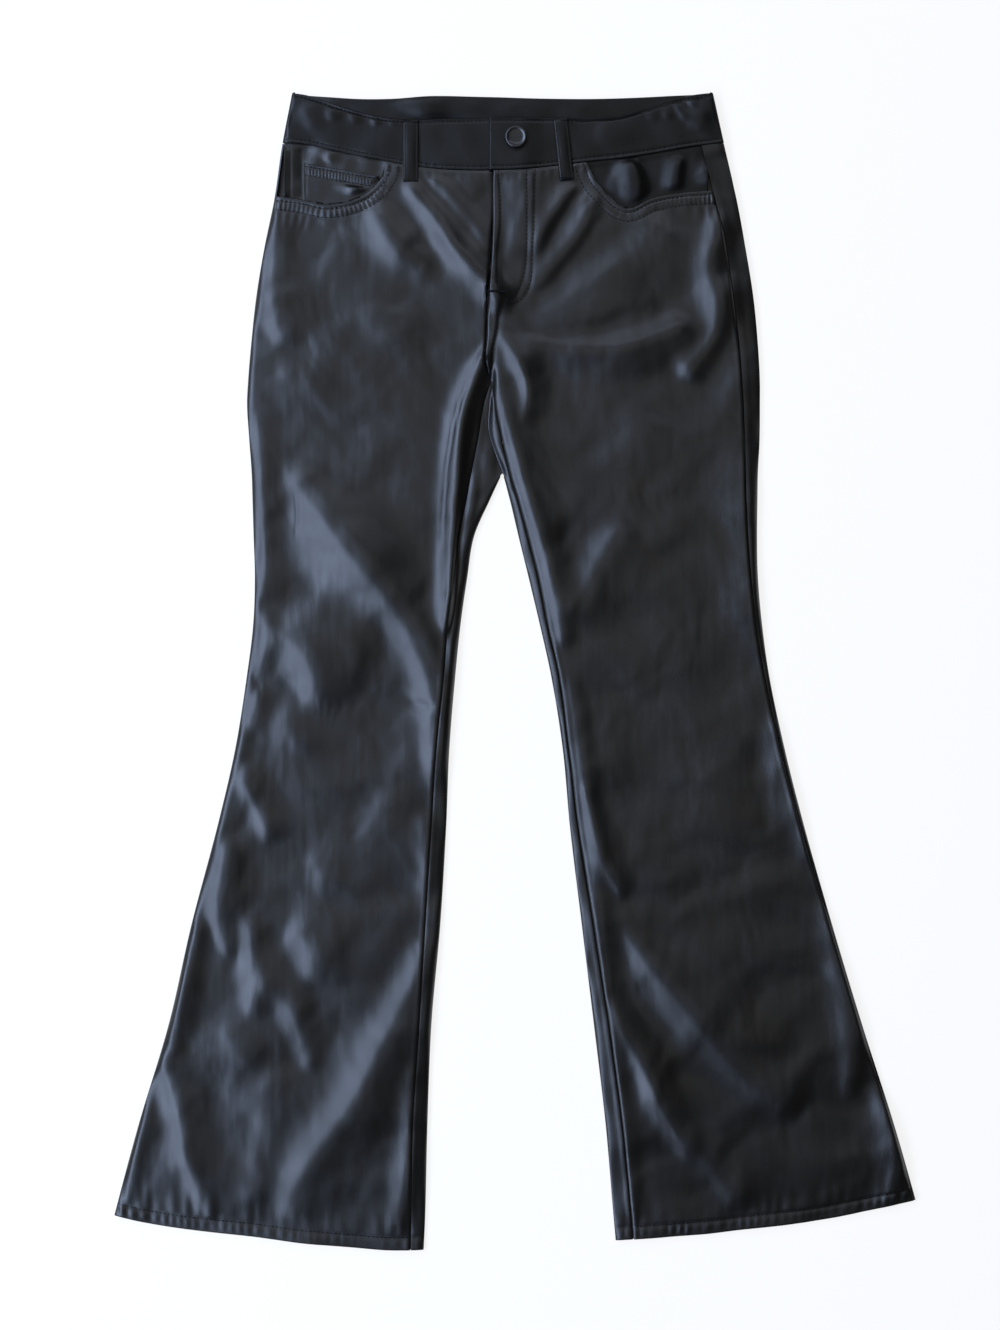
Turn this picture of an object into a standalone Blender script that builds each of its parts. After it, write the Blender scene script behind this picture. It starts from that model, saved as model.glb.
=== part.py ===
"""Faux leather flared trousers, laid flat on their back with the front up: the solid model.

X runs across, with the wearer's right leg at -X.  Y runs from the hems up to the waist, and Z runs up from
the surface that the trousers lie on.  Sizes and tables are in millimetres, and MM turns them into metres.
"""
import math
from collections import namedtuple

import bmesh
import bpy
from mathutils import Vector

MM = 0.001

# Cloth and seams
WALL = 1.0              # one layer of faux leather
BAND_WALL = 1.8         # the waistband, folded double and fused
STRAP_WALL = 1.0        # a belt loop, folded and pressed
GAP = 0.3               # between two pieces, at a seam or one lying on the other

# Levels, from the waist down
BAND_SIDE = (380.5, 417.0)      # the waistband's lower and upper edge at the side folds
WAIST_LEVEL = 380.0             # level of the last row of panel points, under the waistband
MOUTH_LEVEL = 305.0             # the rows above this level close up to the pocket mouths
CROTCH_Y = 210.0                # where the front rise meets the inseams
FORK_Y = 143.0                  # where the two legs part
HEM_EASE_LEVEL = -340.0         # the rows below this level close up to the slanted hems
HEM_LEVEL = -400.0
LEVELS = (380, 366, 352, 338, 324, 308, 292, 277, 262, 246, 231, 222, 214, 206, 193, 180, 167, 155, 143,
          132, 119, 103, 85, 65, 43, 20, -4, -28, -52, -76, -100, -124, -148, -172, -196, -220, -244, -268,
          -292, -316, -340, -360, -380, -400)

# Thickness of the whole lying stack
EDGE_ROUND = 4.0        # how far the rounding of a folded edge reaches in from the outline
FORK_ROUND = 0.8        # the same at the fork, where the two legs' edges meet
LOOP_LIFT = 1.3         # the back belt loops lift the waist off the surface by this much
BAND_TOP = 6.3          # top of the front waistband
FLY_LIFT = 1.4          # the left front lies this much higher over the right one
BUTTON_RADIUS = 8.0

# Outline and seams of both legs at each level.  None: the line does not exist there.
Section = namedtuple("Section", "y outer_r inseam_r inner_r inner_l inseam_l outseam_l outer_l")
SECTIONS = [Section(*row) for row in (
    # y    outer_r inseam_r inner_r inner_l inseam_l outseam_l outer_l
    (417, -160.5, None, None, None, None, 128.0, 142.6),
    (380, -167.6, None, None, None, None, 134.0, 150.8),
    (340, -173.5, None, None, None, None, 144.0, 160.0),
    (305, -180.7, None, None, None, None, 152.3, 166.3),
    (270, -186.5, None, None, None, None, 157.0, 172.0),
    (236, -190.0, None, None, None, None, 161.6, 175.0),
    (210, -192.2, -17.0, None, None, -17.0, 163.5, 176.4),
    (193, -193.0, -22.3, None, None, -14.6, 164.6, 176.4),
    (167, -191.4, -26.6, None, None, -9.5, 165.6, 176.2),
    (143, -189.7, -31.4, -9.2, -8.8, -4.0, 166.0, 175.1),
    (124, -189.1, -34.8, -18.0, -3.6, 1.8, 166.4, 174.7),
    (98, -188.3, -40.0, -29.5, 2.6, 9.0, 167.8, 174.4),
    (67, -187.4, -44.0, -34.8, 10.2, 16.8, 170.0, 175.1),
    (34, -188.6, -48.2, -39.6, 18.0, 23.4, 173.6, 178.0),
    (-2, -193.0, -51.0, -43.2, 26.0, 31.7, 179.8, 183.0),
    (-56, -201.6, -56.5, -47.6, 34.6, 38.8, 191.3, 194.4),
    (-110, -214.0, -60.0, -49.7, 39.6, 45.4, 205.4, 208.0),
    (-182, -233.0, -64.5, -54.0, 48.3, 56.6, 227.3, 228.4),
    (-254, -249.4, -68.8, -60.5, 57.0, 67.7, 249.2, 250.0),
    (-326, -271.0, -73.4, -63.3, 65.5, 77.5, 272.2, 273.0),
    (-392, -288.7, -74.8, -64.8, 71.2, 84.0, 290.9, 291.7),
    (-417, -295.0, -75.2, -66.0, 73.4, 86.0, 297.2, 298.0),
)]

# The lapped front seam: the visible edge of the left front, and the edge of the right front below it.
FlyRow = namedtuple("FlyRow", "y left_edge right_edge")
FLY = [FlyRow(*row) for row in (
    (417, -18.4, -9.0),
    (361, -15.8, -9.0),
    (325, -15.9, -9.2),
    (297, -17.2, -10.5),
    (272, -19.6, -14.0),
    (240, -20.6, -16.6),
    (231, -21.6, -18.0),
    (222, -21.4, -21.7),
    (210, -16.9, -17.2),
)]

# The back seam as it comes up through the fork and shows between the two inseams.
RISE = [(CROTCH_Y, -17.0), (193.0, -18.8), (175.0, -19.6), (160.0, -15.6), (FORK_Y, -9.0)]
BACK_SEAM_X = -9.0
SIDE_WRAP = (-160.0, 127.0)     # outside these the back comes round the side folds to the front
UNDER_PARTS = (0.0, 0.33, 0.66, 1.0)    # where a back's columns lie, from the side fold to the back seam

BandRow = namedtuple("BandRow", "x seam top")
FRONT_BAND = [BandRow(*row) for row in (
    (-167, 380.5, 417.0), (-150, 379.3, 414.8), (-122, 373.2, 405.7), (-96, 368.0, 399.2),
    (-76, 364.4, 397.2), (-50, 361.5, 398.0), (-18, 360.8, 398.5), (8, 361.7, 398.5), (30, 364.3, 398.5),
    (55, 367.2, 398.8), (80, 370.0, 401.4), (98, 372.7, 406.8), (126, 377.6, 414.6), (150, 380.5, 417.0),
)]
BACK_BAND = [BandRow(*row) for row in (
    (-166, 380.5, 417.0), (-136, 378.0, 413.8), (-112, 376.8, 412.2), (-90, 376.0, 412.3), (-60, 375.7, 414.1),
    (-18, 375.5, 413.6), (20, 375.0, 412.5), (60, 375.5, 412.3), (105, 377.5, 414.0), (148, 380.5, 417.0),
)]

# Pocket mouths, as points from the side seam to the waistband.
MOUTH_R = [(-176, 342.5), (-163, 341), (-150, 339), (-136, 336), (-122, 337.6), (-109, 342.4),
           (-102.5, 347), (-97, 353), (-93, 366)]
MOUTH_L = [(51.8, 366), (57, 354), (65, 344), (74, 336), (81.4, 333), (97, 340), (116, 344), (160, 347)]

# Hem lines, from one edge of the leg to the other.
HEM_R = [(-288.7, -392), (-266, -397.5), (-230, -403), (-188, -407.4), (-154, -411.8), (-118, -415),
         (-92, -417), (-66, -416.8)]
HEM_L = [(73, -410), (103, -408), (134.5, -405.6), (166, -402), (202, -398), (228, -394),
         (254, -388.7), (288.5, -381)]

# Height of the upper cloth over the surface where no fold lifts it.
TOP_HEIGHT = [(417, 6.4), (330, 6.4), (270, 5.8), (210, 5.2), (143, 4.8), (60, 4.4), (-417, 4.4)]
LIFT_BY_LEVEL = [(417, 1.0), (222, 1.0), (214, 0.5), (206, 0.0), (-417, 0.0)]

# The largest folds of the fronts: a ridge along a curve from start through middle to end.
Fold = namedtuple("Fold", "name x0 y0 x1 y1 x2 y2 width height")
FOLDS = [Fold(*row) for row in (
    ("hip drag to the fly", -82, 345, -58, 306, -26, 262, 10, 4.5),
    ("upper drag to the fly", -62, 350, -42, 318, -24, 292, 8, 2.5),
    ("hip curve", -126, 328, -108, 296, -78, 280, 12, 4.0),
    ("knee sweep", -164, 150, -128, 72, -66, -8, 22, 7.0),
    ("knee side", -176, 30, -163, 5, -151, -28, 14, 4.0),
    ("inner thigh", -31, 218, -50, 176, -52, 100, 9, 3.5),
    ("outer calf", -199, -45, -191, -95, -181, -125, 10, 4.0),
    ("calf upright", -198, -180, -194, -215, -196, -245, 10, 3.0),
    ("calf arc", -186, -222, -163, -245, -151, -282, 12, 4.0),
    ("long calf diagonal", -80, -190, -118, -268, -170, -392, 15, 7.0),
    ("lower inner", -76, -288, -88, -340, -97, -398, 11, 4.0),
    ("lower outer", -250, -265, -244, -325, -230, -385, 12, 4.0),
    ("left fly drag", 54, 345, 40, 300, 16, 272, 9, 2.5),
    ("left smile", 2, 248, 58, 236, 124, 258, 11, 3.0),
    ("left hip S", 134, 338, 132, 270, 120, 212, 14, 4.5),
    ("left crotch", -10, 238, 0, 208, 5, 176, 8, 3.0),
    ("left outer knee", 154, 146, 160, 75, 168, 2, 16, 4.0),
    ("left outer calf", 176, -48, 190, -108, 228, -262, 11, 3.5),
    ("left calf diagonal", 70, -195, 116, -262, 204, -324, 16, 5.0),
    ("left lower inner", 72, -245, 92, -298, 117, -350, 9, 3.5),
)]
FOLD_EDGE = 9.0         # a fold dies out over this distance towards the fly, a pocket mouth or the waistband
LAP_REACH = 9.0         # no fold reaches this near to the lapped fly edge

LoopRow = namedtuple("LoopRow", "name x_top y_top x_bottom y_bottom width low")
BELT_LOOPS = [LoopRow(*row) for row in (
    ("belt_loop_front_right", -75.0, 396.6, -75.0, 351.4, 11.0, 6.8),
    ("belt_loop_front_left", 32.6, 398.0, 37.4, 353.6, 10.0, 6.8),
    ("belt_loop_back_right", -68.0, 410.6, -67.0, 364.0, 10.0, 0.0),
    ("belt_loop_back_centre", -9.0, 411.6, -9.0, 364.0, 10.0, 0.0),
    ("belt_loop_back_left", 44.0, 410.6, 43.0, 364.0, 10.0, 0.0),
)]


# ---- Curves from the tables -------------------------------------------------------------------------------
def straight(pairs):
    """Position to value through the pairs in straight stretches, level beyond the two ends."""
    pairs = sorted(pairs)

    def value(t):
        if t <= pairs[0][0]:
            return pairs[0][1]
        for (a, va), (b, vb) in zip(pairs, pairs[1:]):
            if t <= b:
                return va + (vb - va) * (t - a) / (b - a)
        return pairs[-1][1]
    return value


def smooth(pairs):
    """Position to value on one smooth curve through the pairs, straight on beyond the two ends."""
    pairs = sorted(pairs)
    chords = [(vb - va) / (b - a) for (a, va), (b, vb) in zip(pairs, pairs[1:])]
    slopes = [chords[0]] + [(p + q) / 2 for p, q in zip(chords, chords[1:])] + [chords[-1]]

    def value(t):
        if t <= pairs[0][0]:
            return pairs[0][1] + slopes[0] * (t - pairs[0][0])
        for i in range(len(chords)):
            (a, va), (b, vb) = pairs[i], pairs[i + 1]
            if t <= b:
                span = b - a
                u = (t - a) / span
                return ((2 * u**3 - 3 * u**2 + 1) * va + (u**3 - 2 * u**2 + u) * span * slopes[i]
                        + (3 * u**2 - 2 * u**3) * vb + (u**3 - u**2) * span * slopes[i + 1])
        return pairs[-1][1] + slopes[-1] * (t - pairs[-1][0])
    return value


def column(table, key, name):
    """One named column of a table as a smooth line."""
    return smooth([(getattr(row, key), getattr(row, name)) for row in table if getattr(row, name) is not None])


def ease(t):
    t = min(max(t, 0.0), 1.0)
    return t * t * (3 - 2 * t)


top_height = straight(TOP_HEIGHT)
rise_x = smooth(RISE)
left_fly_x = straight([(row.y, row.left_edge) for row in FLY])
right_fly_x = straight([(row.y, row.right_edge) for row in FLY])
fly_lift = straight(LIFT_BY_LEVEL)
front_seam_y, front_top_y = column(FRONT_BAND, "x", "seam"), column(FRONT_BAND, "x", "top")
back_seam_y, back_top_y = column(BACK_BAND, "x", "seam"), column(BACK_BAND, "x", "top")
mouth_r_y, mouth_l_y = straight(MOUTH_R), straight(MOUTH_L)
hem_r_y, hem_l_y = smooth(HEM_R), smooth(HEM_L)


def floor_height(y):
    """The under side: on the surface, and lifted a little at the waist by the back belt loops."""
    return LOOP_LIFT * ease((y - 345.0) / 15.0)


def front_top_r(x):
    return min(mouth_r_y(x), front_seam_y(x) - GAP) if x < MOUTH_R[-1][0] else front_seam_y(x) - GAP


def front_top_l(x):
    return min(mouth_l_y(x), front_seam_y(x) - GAP) if x > MOUTH_L[0][0] else front_seam_y(x) - GAP


def back_top(x):
    """The back's upper edge; at the sides, where it comes round to the front, it keeps clear of both seams."""
    at_side = x < SIDE_WRAP[0] or x > SIDE_WRAP[1]
    return (min(back_seam_y(x), front_seam_y(x)) if at_side else back_seam_y(x)) - GAP


# ---- The form of the upper cloth --------------------------------------------------------------------------
def bezier(fold, t):
    """A point on the fold's curve; the middle point of the table lies on it."""
    cx = 2 * fold.x1 - (fold.x0 + fold.x2) / 2
    cy = 2 * fold.y1 - (fold.y0 + fold.y2) / 2
    a, b, c = (1 - t)**2, 2 * t * (1 - t), t * t
    return a * fold.x0 + b * cx + c * fold.x2, a * fold.y0 + b * cy + c * fold.y2


SPINE_STEPS = 14
SPINES = [(fold, [bezier(fold, i / SPINE_STEPS) for i in range(SPINE_STEPS + 1)]) for fold in FOLDS]


def ridge(fold, spine, x, y):
    """Height of one fold at a point: a round ridge that tapers out towards both ends."""
    nearest, along = fold.width**2, None
    for i, ((ax, ay), (bx, by)) in enumerate(zip(spine, spine[1:])):
        ux, uy = bx - ax, by - ay
        t = min(max(((x - ax) * ux + (y - ay) * uy) / (ux * ux + uy * uy), 0.0), 1.0)
        away = (x - ax - t * ux)**2 + (y - ay - t * uy)**2
        if away < nearest:
            nearest, along = away, (i + t) / SPINE_STEPS
    if along is None:
        return 0.0
    taper = ease(4 * along) * ease(4 * (1 - along))
    return fold.height * taper * (1 + math.cos(math.pi * math.sqrt(nearest) / fold.width)) / 2


def fold_height(x, y):
    """All folds together, kept off the fly, the waistband and the pocket mouths."""
    total = sum(ridge(fold, spine, x, y) for fold, spine in SPINES)
    if total == 0.0:
        return 0.0
    room = front_top_r(x) - y if x < left_fly_x(y) else front_top_l(x) - y
    if y > CROTCH_Y:
        room = min(room, abs(x - left_fly_x(y)) - LAP_REACH)
    return total * ease(room / FOLD_EDGE)


def valley(x, y):
    """The dip between the two legs above the fork, where the inseams run together."""
    depth = 1.6 * ease((y - FORK_Y) / 15.0) * ease((CROTCH_Y - y) / 15.0)
    return -depth * math.exp(-((x - rise_x(y)) / 9.0)**2) if depth else 0.0


class Leg:
    """One leg and its half of the hips: the skin round it, measured along from the outer edge.

    w counts millimetres round the leg from the middle of the outer edge: positive along the under side to
    the inner edge and on over the top, negative straight over the top.
    """
    FAR = 1000.0        # above the fork a leg has no inner edge

    def __init__(self, side, inward, front_edge):
        self.inward = inward
        self.outer = column(SECTIONS, "y", "outer_" + side)
        self.inner_edge = column(SECTIONS, "y", "inner_" + side)
        self.inseam = column(SECTIONS, "y", "inseam_" + side)
        self.front_edge = front_edge

    def frame(self, y):
        """Edges, rounding and girth of the leg at a level."""
        outer = self.outer(y)
        parted = y <= FORK_Y
        inner = self.inner_edge(y) if parted else outer + self.inward * self.FAR
        low, high = floor_height(y), top_height(y)
        half = (high - low) / 2
        inner_round = FORK_ROUND + (EDGE_ROUND - FORK_ROUND) * ease((FORK_Y - y) / 24.0)
        arc = math.pi / 2 * math.sqrt((EDGE_ROUND**2 + half**2) / 2)
        inner_arc = math.pi / 2 * math.sqrt((inner_round**2 + half**2) / 2)
        length = abs(inner - outer) - EDGE_ROUND - inner_round + arc + inner_arc
        return outer, inner, low + half, half, inner_round, arc, inner_arc, length

    def reach(self, y, x):
        """Length over the top from the middle of the outer edge to the point above x."""
        outer, inner, _, _, inner_round, arc, inner_arc, length = self.frame(y)
        from_outer, from_inner = abs(x - outer), abs(inner - x)
        if from_outer < EDGE_ROUND:
            return arc * math.acos(1 - from_outer / EDGE_ROUND) / (math.pi / 2)
        if from_inner < inner_round:
            return length - inner_arc * math.acos(1 - from_inner / inner_round) / (math.pi / 2)
        return from_outer - EDGE_ROUND + arc

    def point(self, y, w, lift):
        """The skin at a level and a way round; lift is how much a lapped piece lies higher there."""
        outer, inner, middle, half, inner_round, arc, inner_arc, length = self.frame(y)
        over = w < 0 or w > length
        s = -w if w < 0 else 2 * length - w if w > length else w
        if s < arc:
            angle = s / arc * math.pi / 2
            x, up = outer + self.inward * EDGE_ROUND * (1 - math.cos(angle)), math.sin(angle)
        elif s < length - inner_arc:
            x, up = outer + self.inward * (EDGE_ROUND + s - arc), 1.0
        else:
            angle = (length - s) / inner_arc * math.pi / 2
            x, up = inner - self.inward * inner_round * (1 - math.cos(angle)), math.sin(angle)
        if not over:
            return Vector((x, y, middle - half * up))
        return Vector((x, y, middle + half * up + up * (fold_height(x, y) + valley(x, y) + lift(x, y))))

    def skin(self, y, w, lift):
        """The point and its outward direction, the same on both sides of a seam."""
        step = 0.2
        here = self.point(y, w, lift)
        if y > FORK_Y:
            along = self.point(y + step, w, lift) - here
        else:
            along = here - self.point(y - step, w, lift)
        across = self.point(y, w + step, lift) - self.point(y, w - step, lift)
        return here, (across.cross(along) * -self.inward).normalized()


def flat_lie(x, y):
    return 0.0


def fly_lap(x, y):
    """The left front rises over the edge of the right one along the fly."""
    return FLY_LIFT * fly_lift(y) * ease((46.0 - (x - left_fly_x(y))) / 28.0)


def right_front_edge(y):
    return right_fly_x(y) if y >= CROTCH_Y else RIGHT_LEG.inseam(y) - GAP / 2


def left_front_edge(y):
    return left_fly_x(y) if y >= CROTCH_Y else LEFT_LEG.inseam(y) + GAP / 2


RIGHT_LEG = Leg("r", 1, right_front_edge)
LEFT_LEG = Leg("l", -1, left_front_edge)
outseam_l = column(SECTIONS, "y", "outseam_l")


# ---- Columns of points round a leg, for each panel --------------------------------------------------------
def front_right_columns(y):
    arc = RIGHT_LEG.frame(y)[5]
    end = RIGHT_LEG.reach(y, RIGHT_LEG.front_edge(y))
    parts = (0.0, 0.1, 0.2, 0.31, 0.4, 0.4656, 0.56, 0.67, 0.78, 0.89, 1.0)
    return [-GAP / 2, -arc / 2] + [-(arc + (end - arc) * part) for part in parts]


def front_left_columns(y):
    start = LEFT_LEG.reach(y, outseam_l(y)) + GAP / 2
    end = LEFT_LEG.reach(y, LEFT_LEG.front_edge(y))
    parts = (0.0, 0.012, 0.07, 0.17, 0.28, 0.39, 0.48, 0.5605, 0.67, 0.78, 0.89, 1.0)
    return [-(start + (end - start) * part) for part in parts]


def back_columns(leg, y, outer_part):
    """Columns of a back: its outer part, the under side, the inner edge and the strip up to the inseam."""
    _, _, _, _, _, arc, inner_arc, length = leg.frame(y)
    centre = leg.reach(y, BACK_SEAM_X - leg.inward * GAP / 2) if y > FORK_Y else length - inner_arc
    under = [arc + (centre - arc) * part for part in UNDER_PARTS]
    if y > FORK_Y:
        roll = [None, None, None]
        strip = [None, None]
        if y < CROTCH_Y - 3.0:
            rise = leg.reach(y, rise_x(y) - leg.inward * GAP / 2)
            inseam = leg.reach(y, leg.inseam(y) + leg.inward * GAP / 2)
            strip = [2 * length - rise, 2 * length - inseam]
    else:
        reach = length - leg.reach(y, leg.inseam(y)) - GAP / 2
        roll = [length - inner_arc / 2, length, length + min(inner_arc / 2, 0.4 * reach)]
        strip = [length + min(inner_arc, 0.75 * reach), length + reach]
    return outer_part + under + roll + strip


def back_right_columns(y):
    arc = RIGHT_LEG.frame(y)[5]
    return back_columns(RIGHT_LEG, y, [GAP / 2, arc / 2])


def back_left_columns(y):
    arc = LEFT_LEG.frame(y)[5]
    seam = LEFT_LEG.reach(y, outseam_l(y)) - GAP / 2
    return back_columns(LEFT_LEG, y, [-seam, -min(arc, 0.75 * seam), -min(arc / 2, 0.4 * seam), 0.0, arc / 2])


# ---- Building solids --------------------------------------------------------------------------------------
def clear_scene():
    for obj in list(bpy.data.objects):
        bpy.data.objects.remove(obj, do_unlink=True)


def material(name, colour, roughness, metallic=0.0):
    mat = bpy.data.materials.new(name)
    mat.use_nodes = True
    shader = mat.node_tree.nodes["Principled BSDF"]
    shader.inputs["Base Color"].default_value = (*colour, 1.0)
    shader.inputs["Roughness"].default_value = roughness
    shader.inputs["Metallic"].default_value = metallic
    return mat


def add_object(name, bm, mat):
    """A mesh object in the trousers' collection, from a bmesh in millimetres."""
    bmesh.ops.scale(bm, vec=(MM, MM, MM), verts=bm.verts)
    mesh = bpy.data.meshes.new(name)
    bm.to_mesh(mesh)
    bm.free()
    mesh.materials.append(mat)
    obj = bpy.data.objects.new(name, mesh)
    COLLECTION.objects.link(obj)
    return obj


def walled_loft(name, rows, wall, mat):
    """A closed wall from rows of (point, outward direction); a None leaves the faces round it out.

    The wall is built here, and not by Solidify, so that the two rims of a seam stay parallel.
    """
    bm = bmesh.new()
    skins = []
    for depth in (0.0, wall):
        skins.append([[None if spot is None else bm.verts.new(spot[0] - spot[1] * depth) for spot in row]
                      for row in rows])
    outside, inside = skins
    edges = {}
    for j in range(len(rows) - 1):
        for i in range(len(rows[0]) - 1):
            ring = [(j, i), (j, i + 1), (j + 1, i + 1), (j + 1, i)]
            if any(rows[r][c] is None for r, c in ring):
                continue
            bm.faces.new([outside[r][c] for r, c in ring])
            bm.faces.new([inside[r][c] for r, c in reversed(ring)])
            for start, stop in zip(ring, ring[1:] + ring[:1]):
                if (stop, start) in edges:
                    del edges[(stop, start)]
                else:
                    edges[(start, stop)] = True
    for (ra, ca), (rb, cb) in edges:
        bm.faces.new((outside[rb][cb], outside[ra][ca], inside[ra][ca], inside[rb][cb]))
    bmesh.ops.delete(bm, geom=[v for v in bm.verts if not v.link_faces], context="VERTS")
    if bm.calc_volume(signed=True) < 0:
        bmesh.ops.reverse_faces(bm, faces=bm.faces)
    return add_object(name, bm, mat)


def leg_panel(name, leg, columns, top_y, hem_y, lift, mat):
    """A front or back: rows at the levels, closed up to the waist line and to the hem line."""
    def settle(level, x):
        if level > MOUTH_LEVEL:
            return MOUTH_LEVEL + (level - MOUTH_LEVEL) / (WAIST_LEVEL - MOUTH_LEVEL) * (top_y(x) - MOUTH_LEVEL)
        if level < HEM_EASE_LEVEL:
            share = (HEM_EASE_LEVEL - level) / (HEM_EASE_LEVEL - HEM_LEVEL)
            return HEM_EASE_LEVEL + share * (hem_y(x) - HEM_EASE_LEVEL)
        return level

    rows = []
    for level in LEVELS:
        row = []
        for i, w in enumerate(columns(level)):
            if w is None:
                row.append(None)
                continue
            y = level
            for _ in range(4):
                w = columns(y)[i]
                y = settle(level, leg.point(y, w, lift).x)
            row.append(leg.skin(y, columns(y)[i], lift))
        rows.append(row)
    return walled_loft(name, rows, WALL, mat)


def waistband(mat):
    """One strip round the waist: from under the lap at the front, round the back, to the lap's end."""
    heights = (0.0, 0.5, 1.0)
    low = LOOP_LIFT
    middle, half = (BAND_TOP + low) / 2, (BAND_TOP - low) / 2
    lap = BAND_WALL + GAP
    fold_round = 2.4
    turns = [math.radians(a) for a in (90, 54, 18, -18, -54, -90)]
    flat_r, flat_l = RIGHT_LEG.outer(BAND_SIDE[0]) + EDGE_ROUND, LEFT_LEG.outer(BAND_SIDE[0]) - EDGE_ROUND
    under_r = [flat_r + (BACK_SEAM_X - flat_r) * part for part in UNDER_PARTS]
    under_l = [BACK_SEAM_X + (flat_l - BACK_SEAM_X) * (1 - part) for part in reversed(UNDER_PARTS[:-1])]
    rows = []
    for v in heights:
        side_y = BAND_SIDE[0] + v * (BAND_SIDE[1] - BAND_SIDE[0])
        x_r, x_l = RIGHT_LEG.outer(side_y), LEFT_LEG.outer(side_y)

        def front(x, z):
            y = front_seam_y(x) + v * (front_top_y(x) - front_seam_y(x))
            return Vector((x, y, z)), Vector((0, 0, 1))

        def back(x):
            y = back_seam_y(x) + v * (back_top_y(x) - back_seam_y(x))
            return Vector((x, y, low)), Vector((0, 0, -1))

        def side(x, out, angle):
            spot = Vector((x - out * fold_round * (1 - math.cos(angle)), side_y, middle + half * math.sin(angle)))
            return spot, Vector((out * math.cos(angle) / fold_round, 0, math.sin(angle) / half)).normalized()

        row = [front(x, BAND_TOP) for x in (-3, -20, -40, -62, -80, -100, -122, -144)]
        row += [side(x_r, -1, angle) for angle in turns]
        row += [back(x) for x in under_r + under_l]
        row += [side(x_l, 1, angle) for angle in reversed(turns)]
        row += [front(x, BAND_TOP + lap * ease((22 - x) / 18)) for x in (140, 126, 98, 78, 55, 30, 22, 13, 4, -8, -18.4)]
        rows.append(row)
    return walled_loft("waistband", rows, BAND_WALL, mat)


def flat_piece(name, outline, low, thickness, mat):
    """A flat piece of cloth from its outline, with its under side at a height."""
    bm = bmesh.new()
    bm.faces.new([bm.verts.new((x, y, low)) for x, y in outline])
    obj = add_object(name, bm, mat)
    if obj.data.polygons[0].normal.z < 0:
        obj.data.flip_normals()
    wall = obj.modifiers.new("thickness", "SOLIDIFY")
    wall.thickness = thickness * MM
    wall.offset = 1.0
    return obj


def steps(start, stop, count):
    return [start + (stop - start) * i / (count - 1) for i in range(count)]


def pocket_facings(mat):
    """The piece that shows in each pocket mouth, going on down under the front as the pocket's bag."""
    low, bag_y = 2.6, 298.0

    def top(x):
        return x, min(front_seam_y(x) + 3.0, back_seam_y(x) - 1.0)

    right_top = [top(x) for x in steps(-162.5, -87, 8)]
    right_side = [(RIGHT_LEG.outer(y) + inset, y) for y, inset in ((bag_y, 12), (336, 10), (348, 3.5), (366, 3.5))]
    flat_piece("pocket_facing_right", right_top + [(-87, bag_y)] + right_side, low, WALL, mat)
    left_top = [top(x) for x in steps(47, 131, 8)]
    left_side = [(outseam_l(y) - inset, y) for y, inset in ((366, 0.5), (350, 0.5), (336, 6), (bag_y, 6))]
    flat_piece("pocket_facing_left", left_top + left_side + [(47, bag_y)], low, WALL, mat)


def coin_pocket(mat):
    low, under_mouth = 2.6 + WALL + GAP, 8.0
    top = [(-152.6, 365.8), (-96.0, 356.0)]
    lower = [(x, mouth_r_y(x) - under_mouth) for x in (-98, -109, -122, -136, -150.5)]
    flat_piece("coin_pocket", top + lower, low, WALL, mat)


def fly_zip(mat):
    """The closed zip on its tape, under the fly."""
    flat_piece("fly_zip", [(-19, 281), (-3, 281), (-3, 362), (-18, 362)], 2.6, 1.8, mat)


def belt_loop(row, mat):
    """A pressed strip sewn down over the waistband, from its upper edge to just below its seam."""
    top, bottom = Vector((row.x_top, row.y_top, 0)), Vector((row.x_bottom, row.y_bottom, 0))
    run = top - bottom
    bm = bmesh.new()
    bmesh.ops.create_cube(bm, size=1.0)
    bmesh.ops.scale(bm, vec=(row.width, run.length, STRAP_WALL), verts=bm.verts)
    bm.transform(Vector((0, 1, 0)).rotation_difference(run).to_matrix().to_4x4())
    centre = (top + bottom) / 2
    bmesh.ops.translate(bm, vec=(centre.x, centre.y, row.low + STRAP_WALL / 2), verts=bm.verts)
    return add_object(row.name, bm, mat)


def button(mat):
    """A turned shank button on the lap of the waistband."""
    base = BAND_TOP + BAND_WALL + 2 * GAP
    profile = [(0.0, 2.2), (5.6, 2.2), (6.3, 2.8), (7.2, 2.8), (BUTTON_RADIUS, 2.0), (BUTTON_RADIUS, 0.9),
               (6.6, 0.0), (0.0, 0.0)]
    bm = bmesh.new()
    spots = [bm.verts.new((x, 0, z)) for x, z in profile]
    for a, b in zip(spots, spots[1:]):
        bm.edges.new((a, b))
    obj = add_object("button", bm, mat)
    obj.location = (0.7 * MM, 384.0 * MM, base * MM)
    turn = obj.modifiers.new("turn", "SCREW")
    turn.steps = turn.render_steps = 20
    turn.use_merge_vertices = True
    turn.merge_threshold = 0.00005
    return obj


clear_scene()
COLLECTION = bpy.data.collections.new("flared_trousers")
bpy.context.scene.collection.children.link(COLLECTION)

leather = material("black_faux_leather", (0.022, 0.023, 0.026), 0.38)
back_leather = material("black_faux_leather_back", (0.020, 0.021, 0.024), 0.42)
band_leather = material("black_band_leather", (0.022, 0.023, 0.026), 0.40)
facing_leather = material("black_facing_leather", (0.020, 0.021, 0.024), 0.40)
zip_tape = material("black_zip_tape", (0.015, 0.015, 0.016), 0.80)
button_shell = material("black_button", (0.020, 0.020, 0.022), 0.30)

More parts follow.
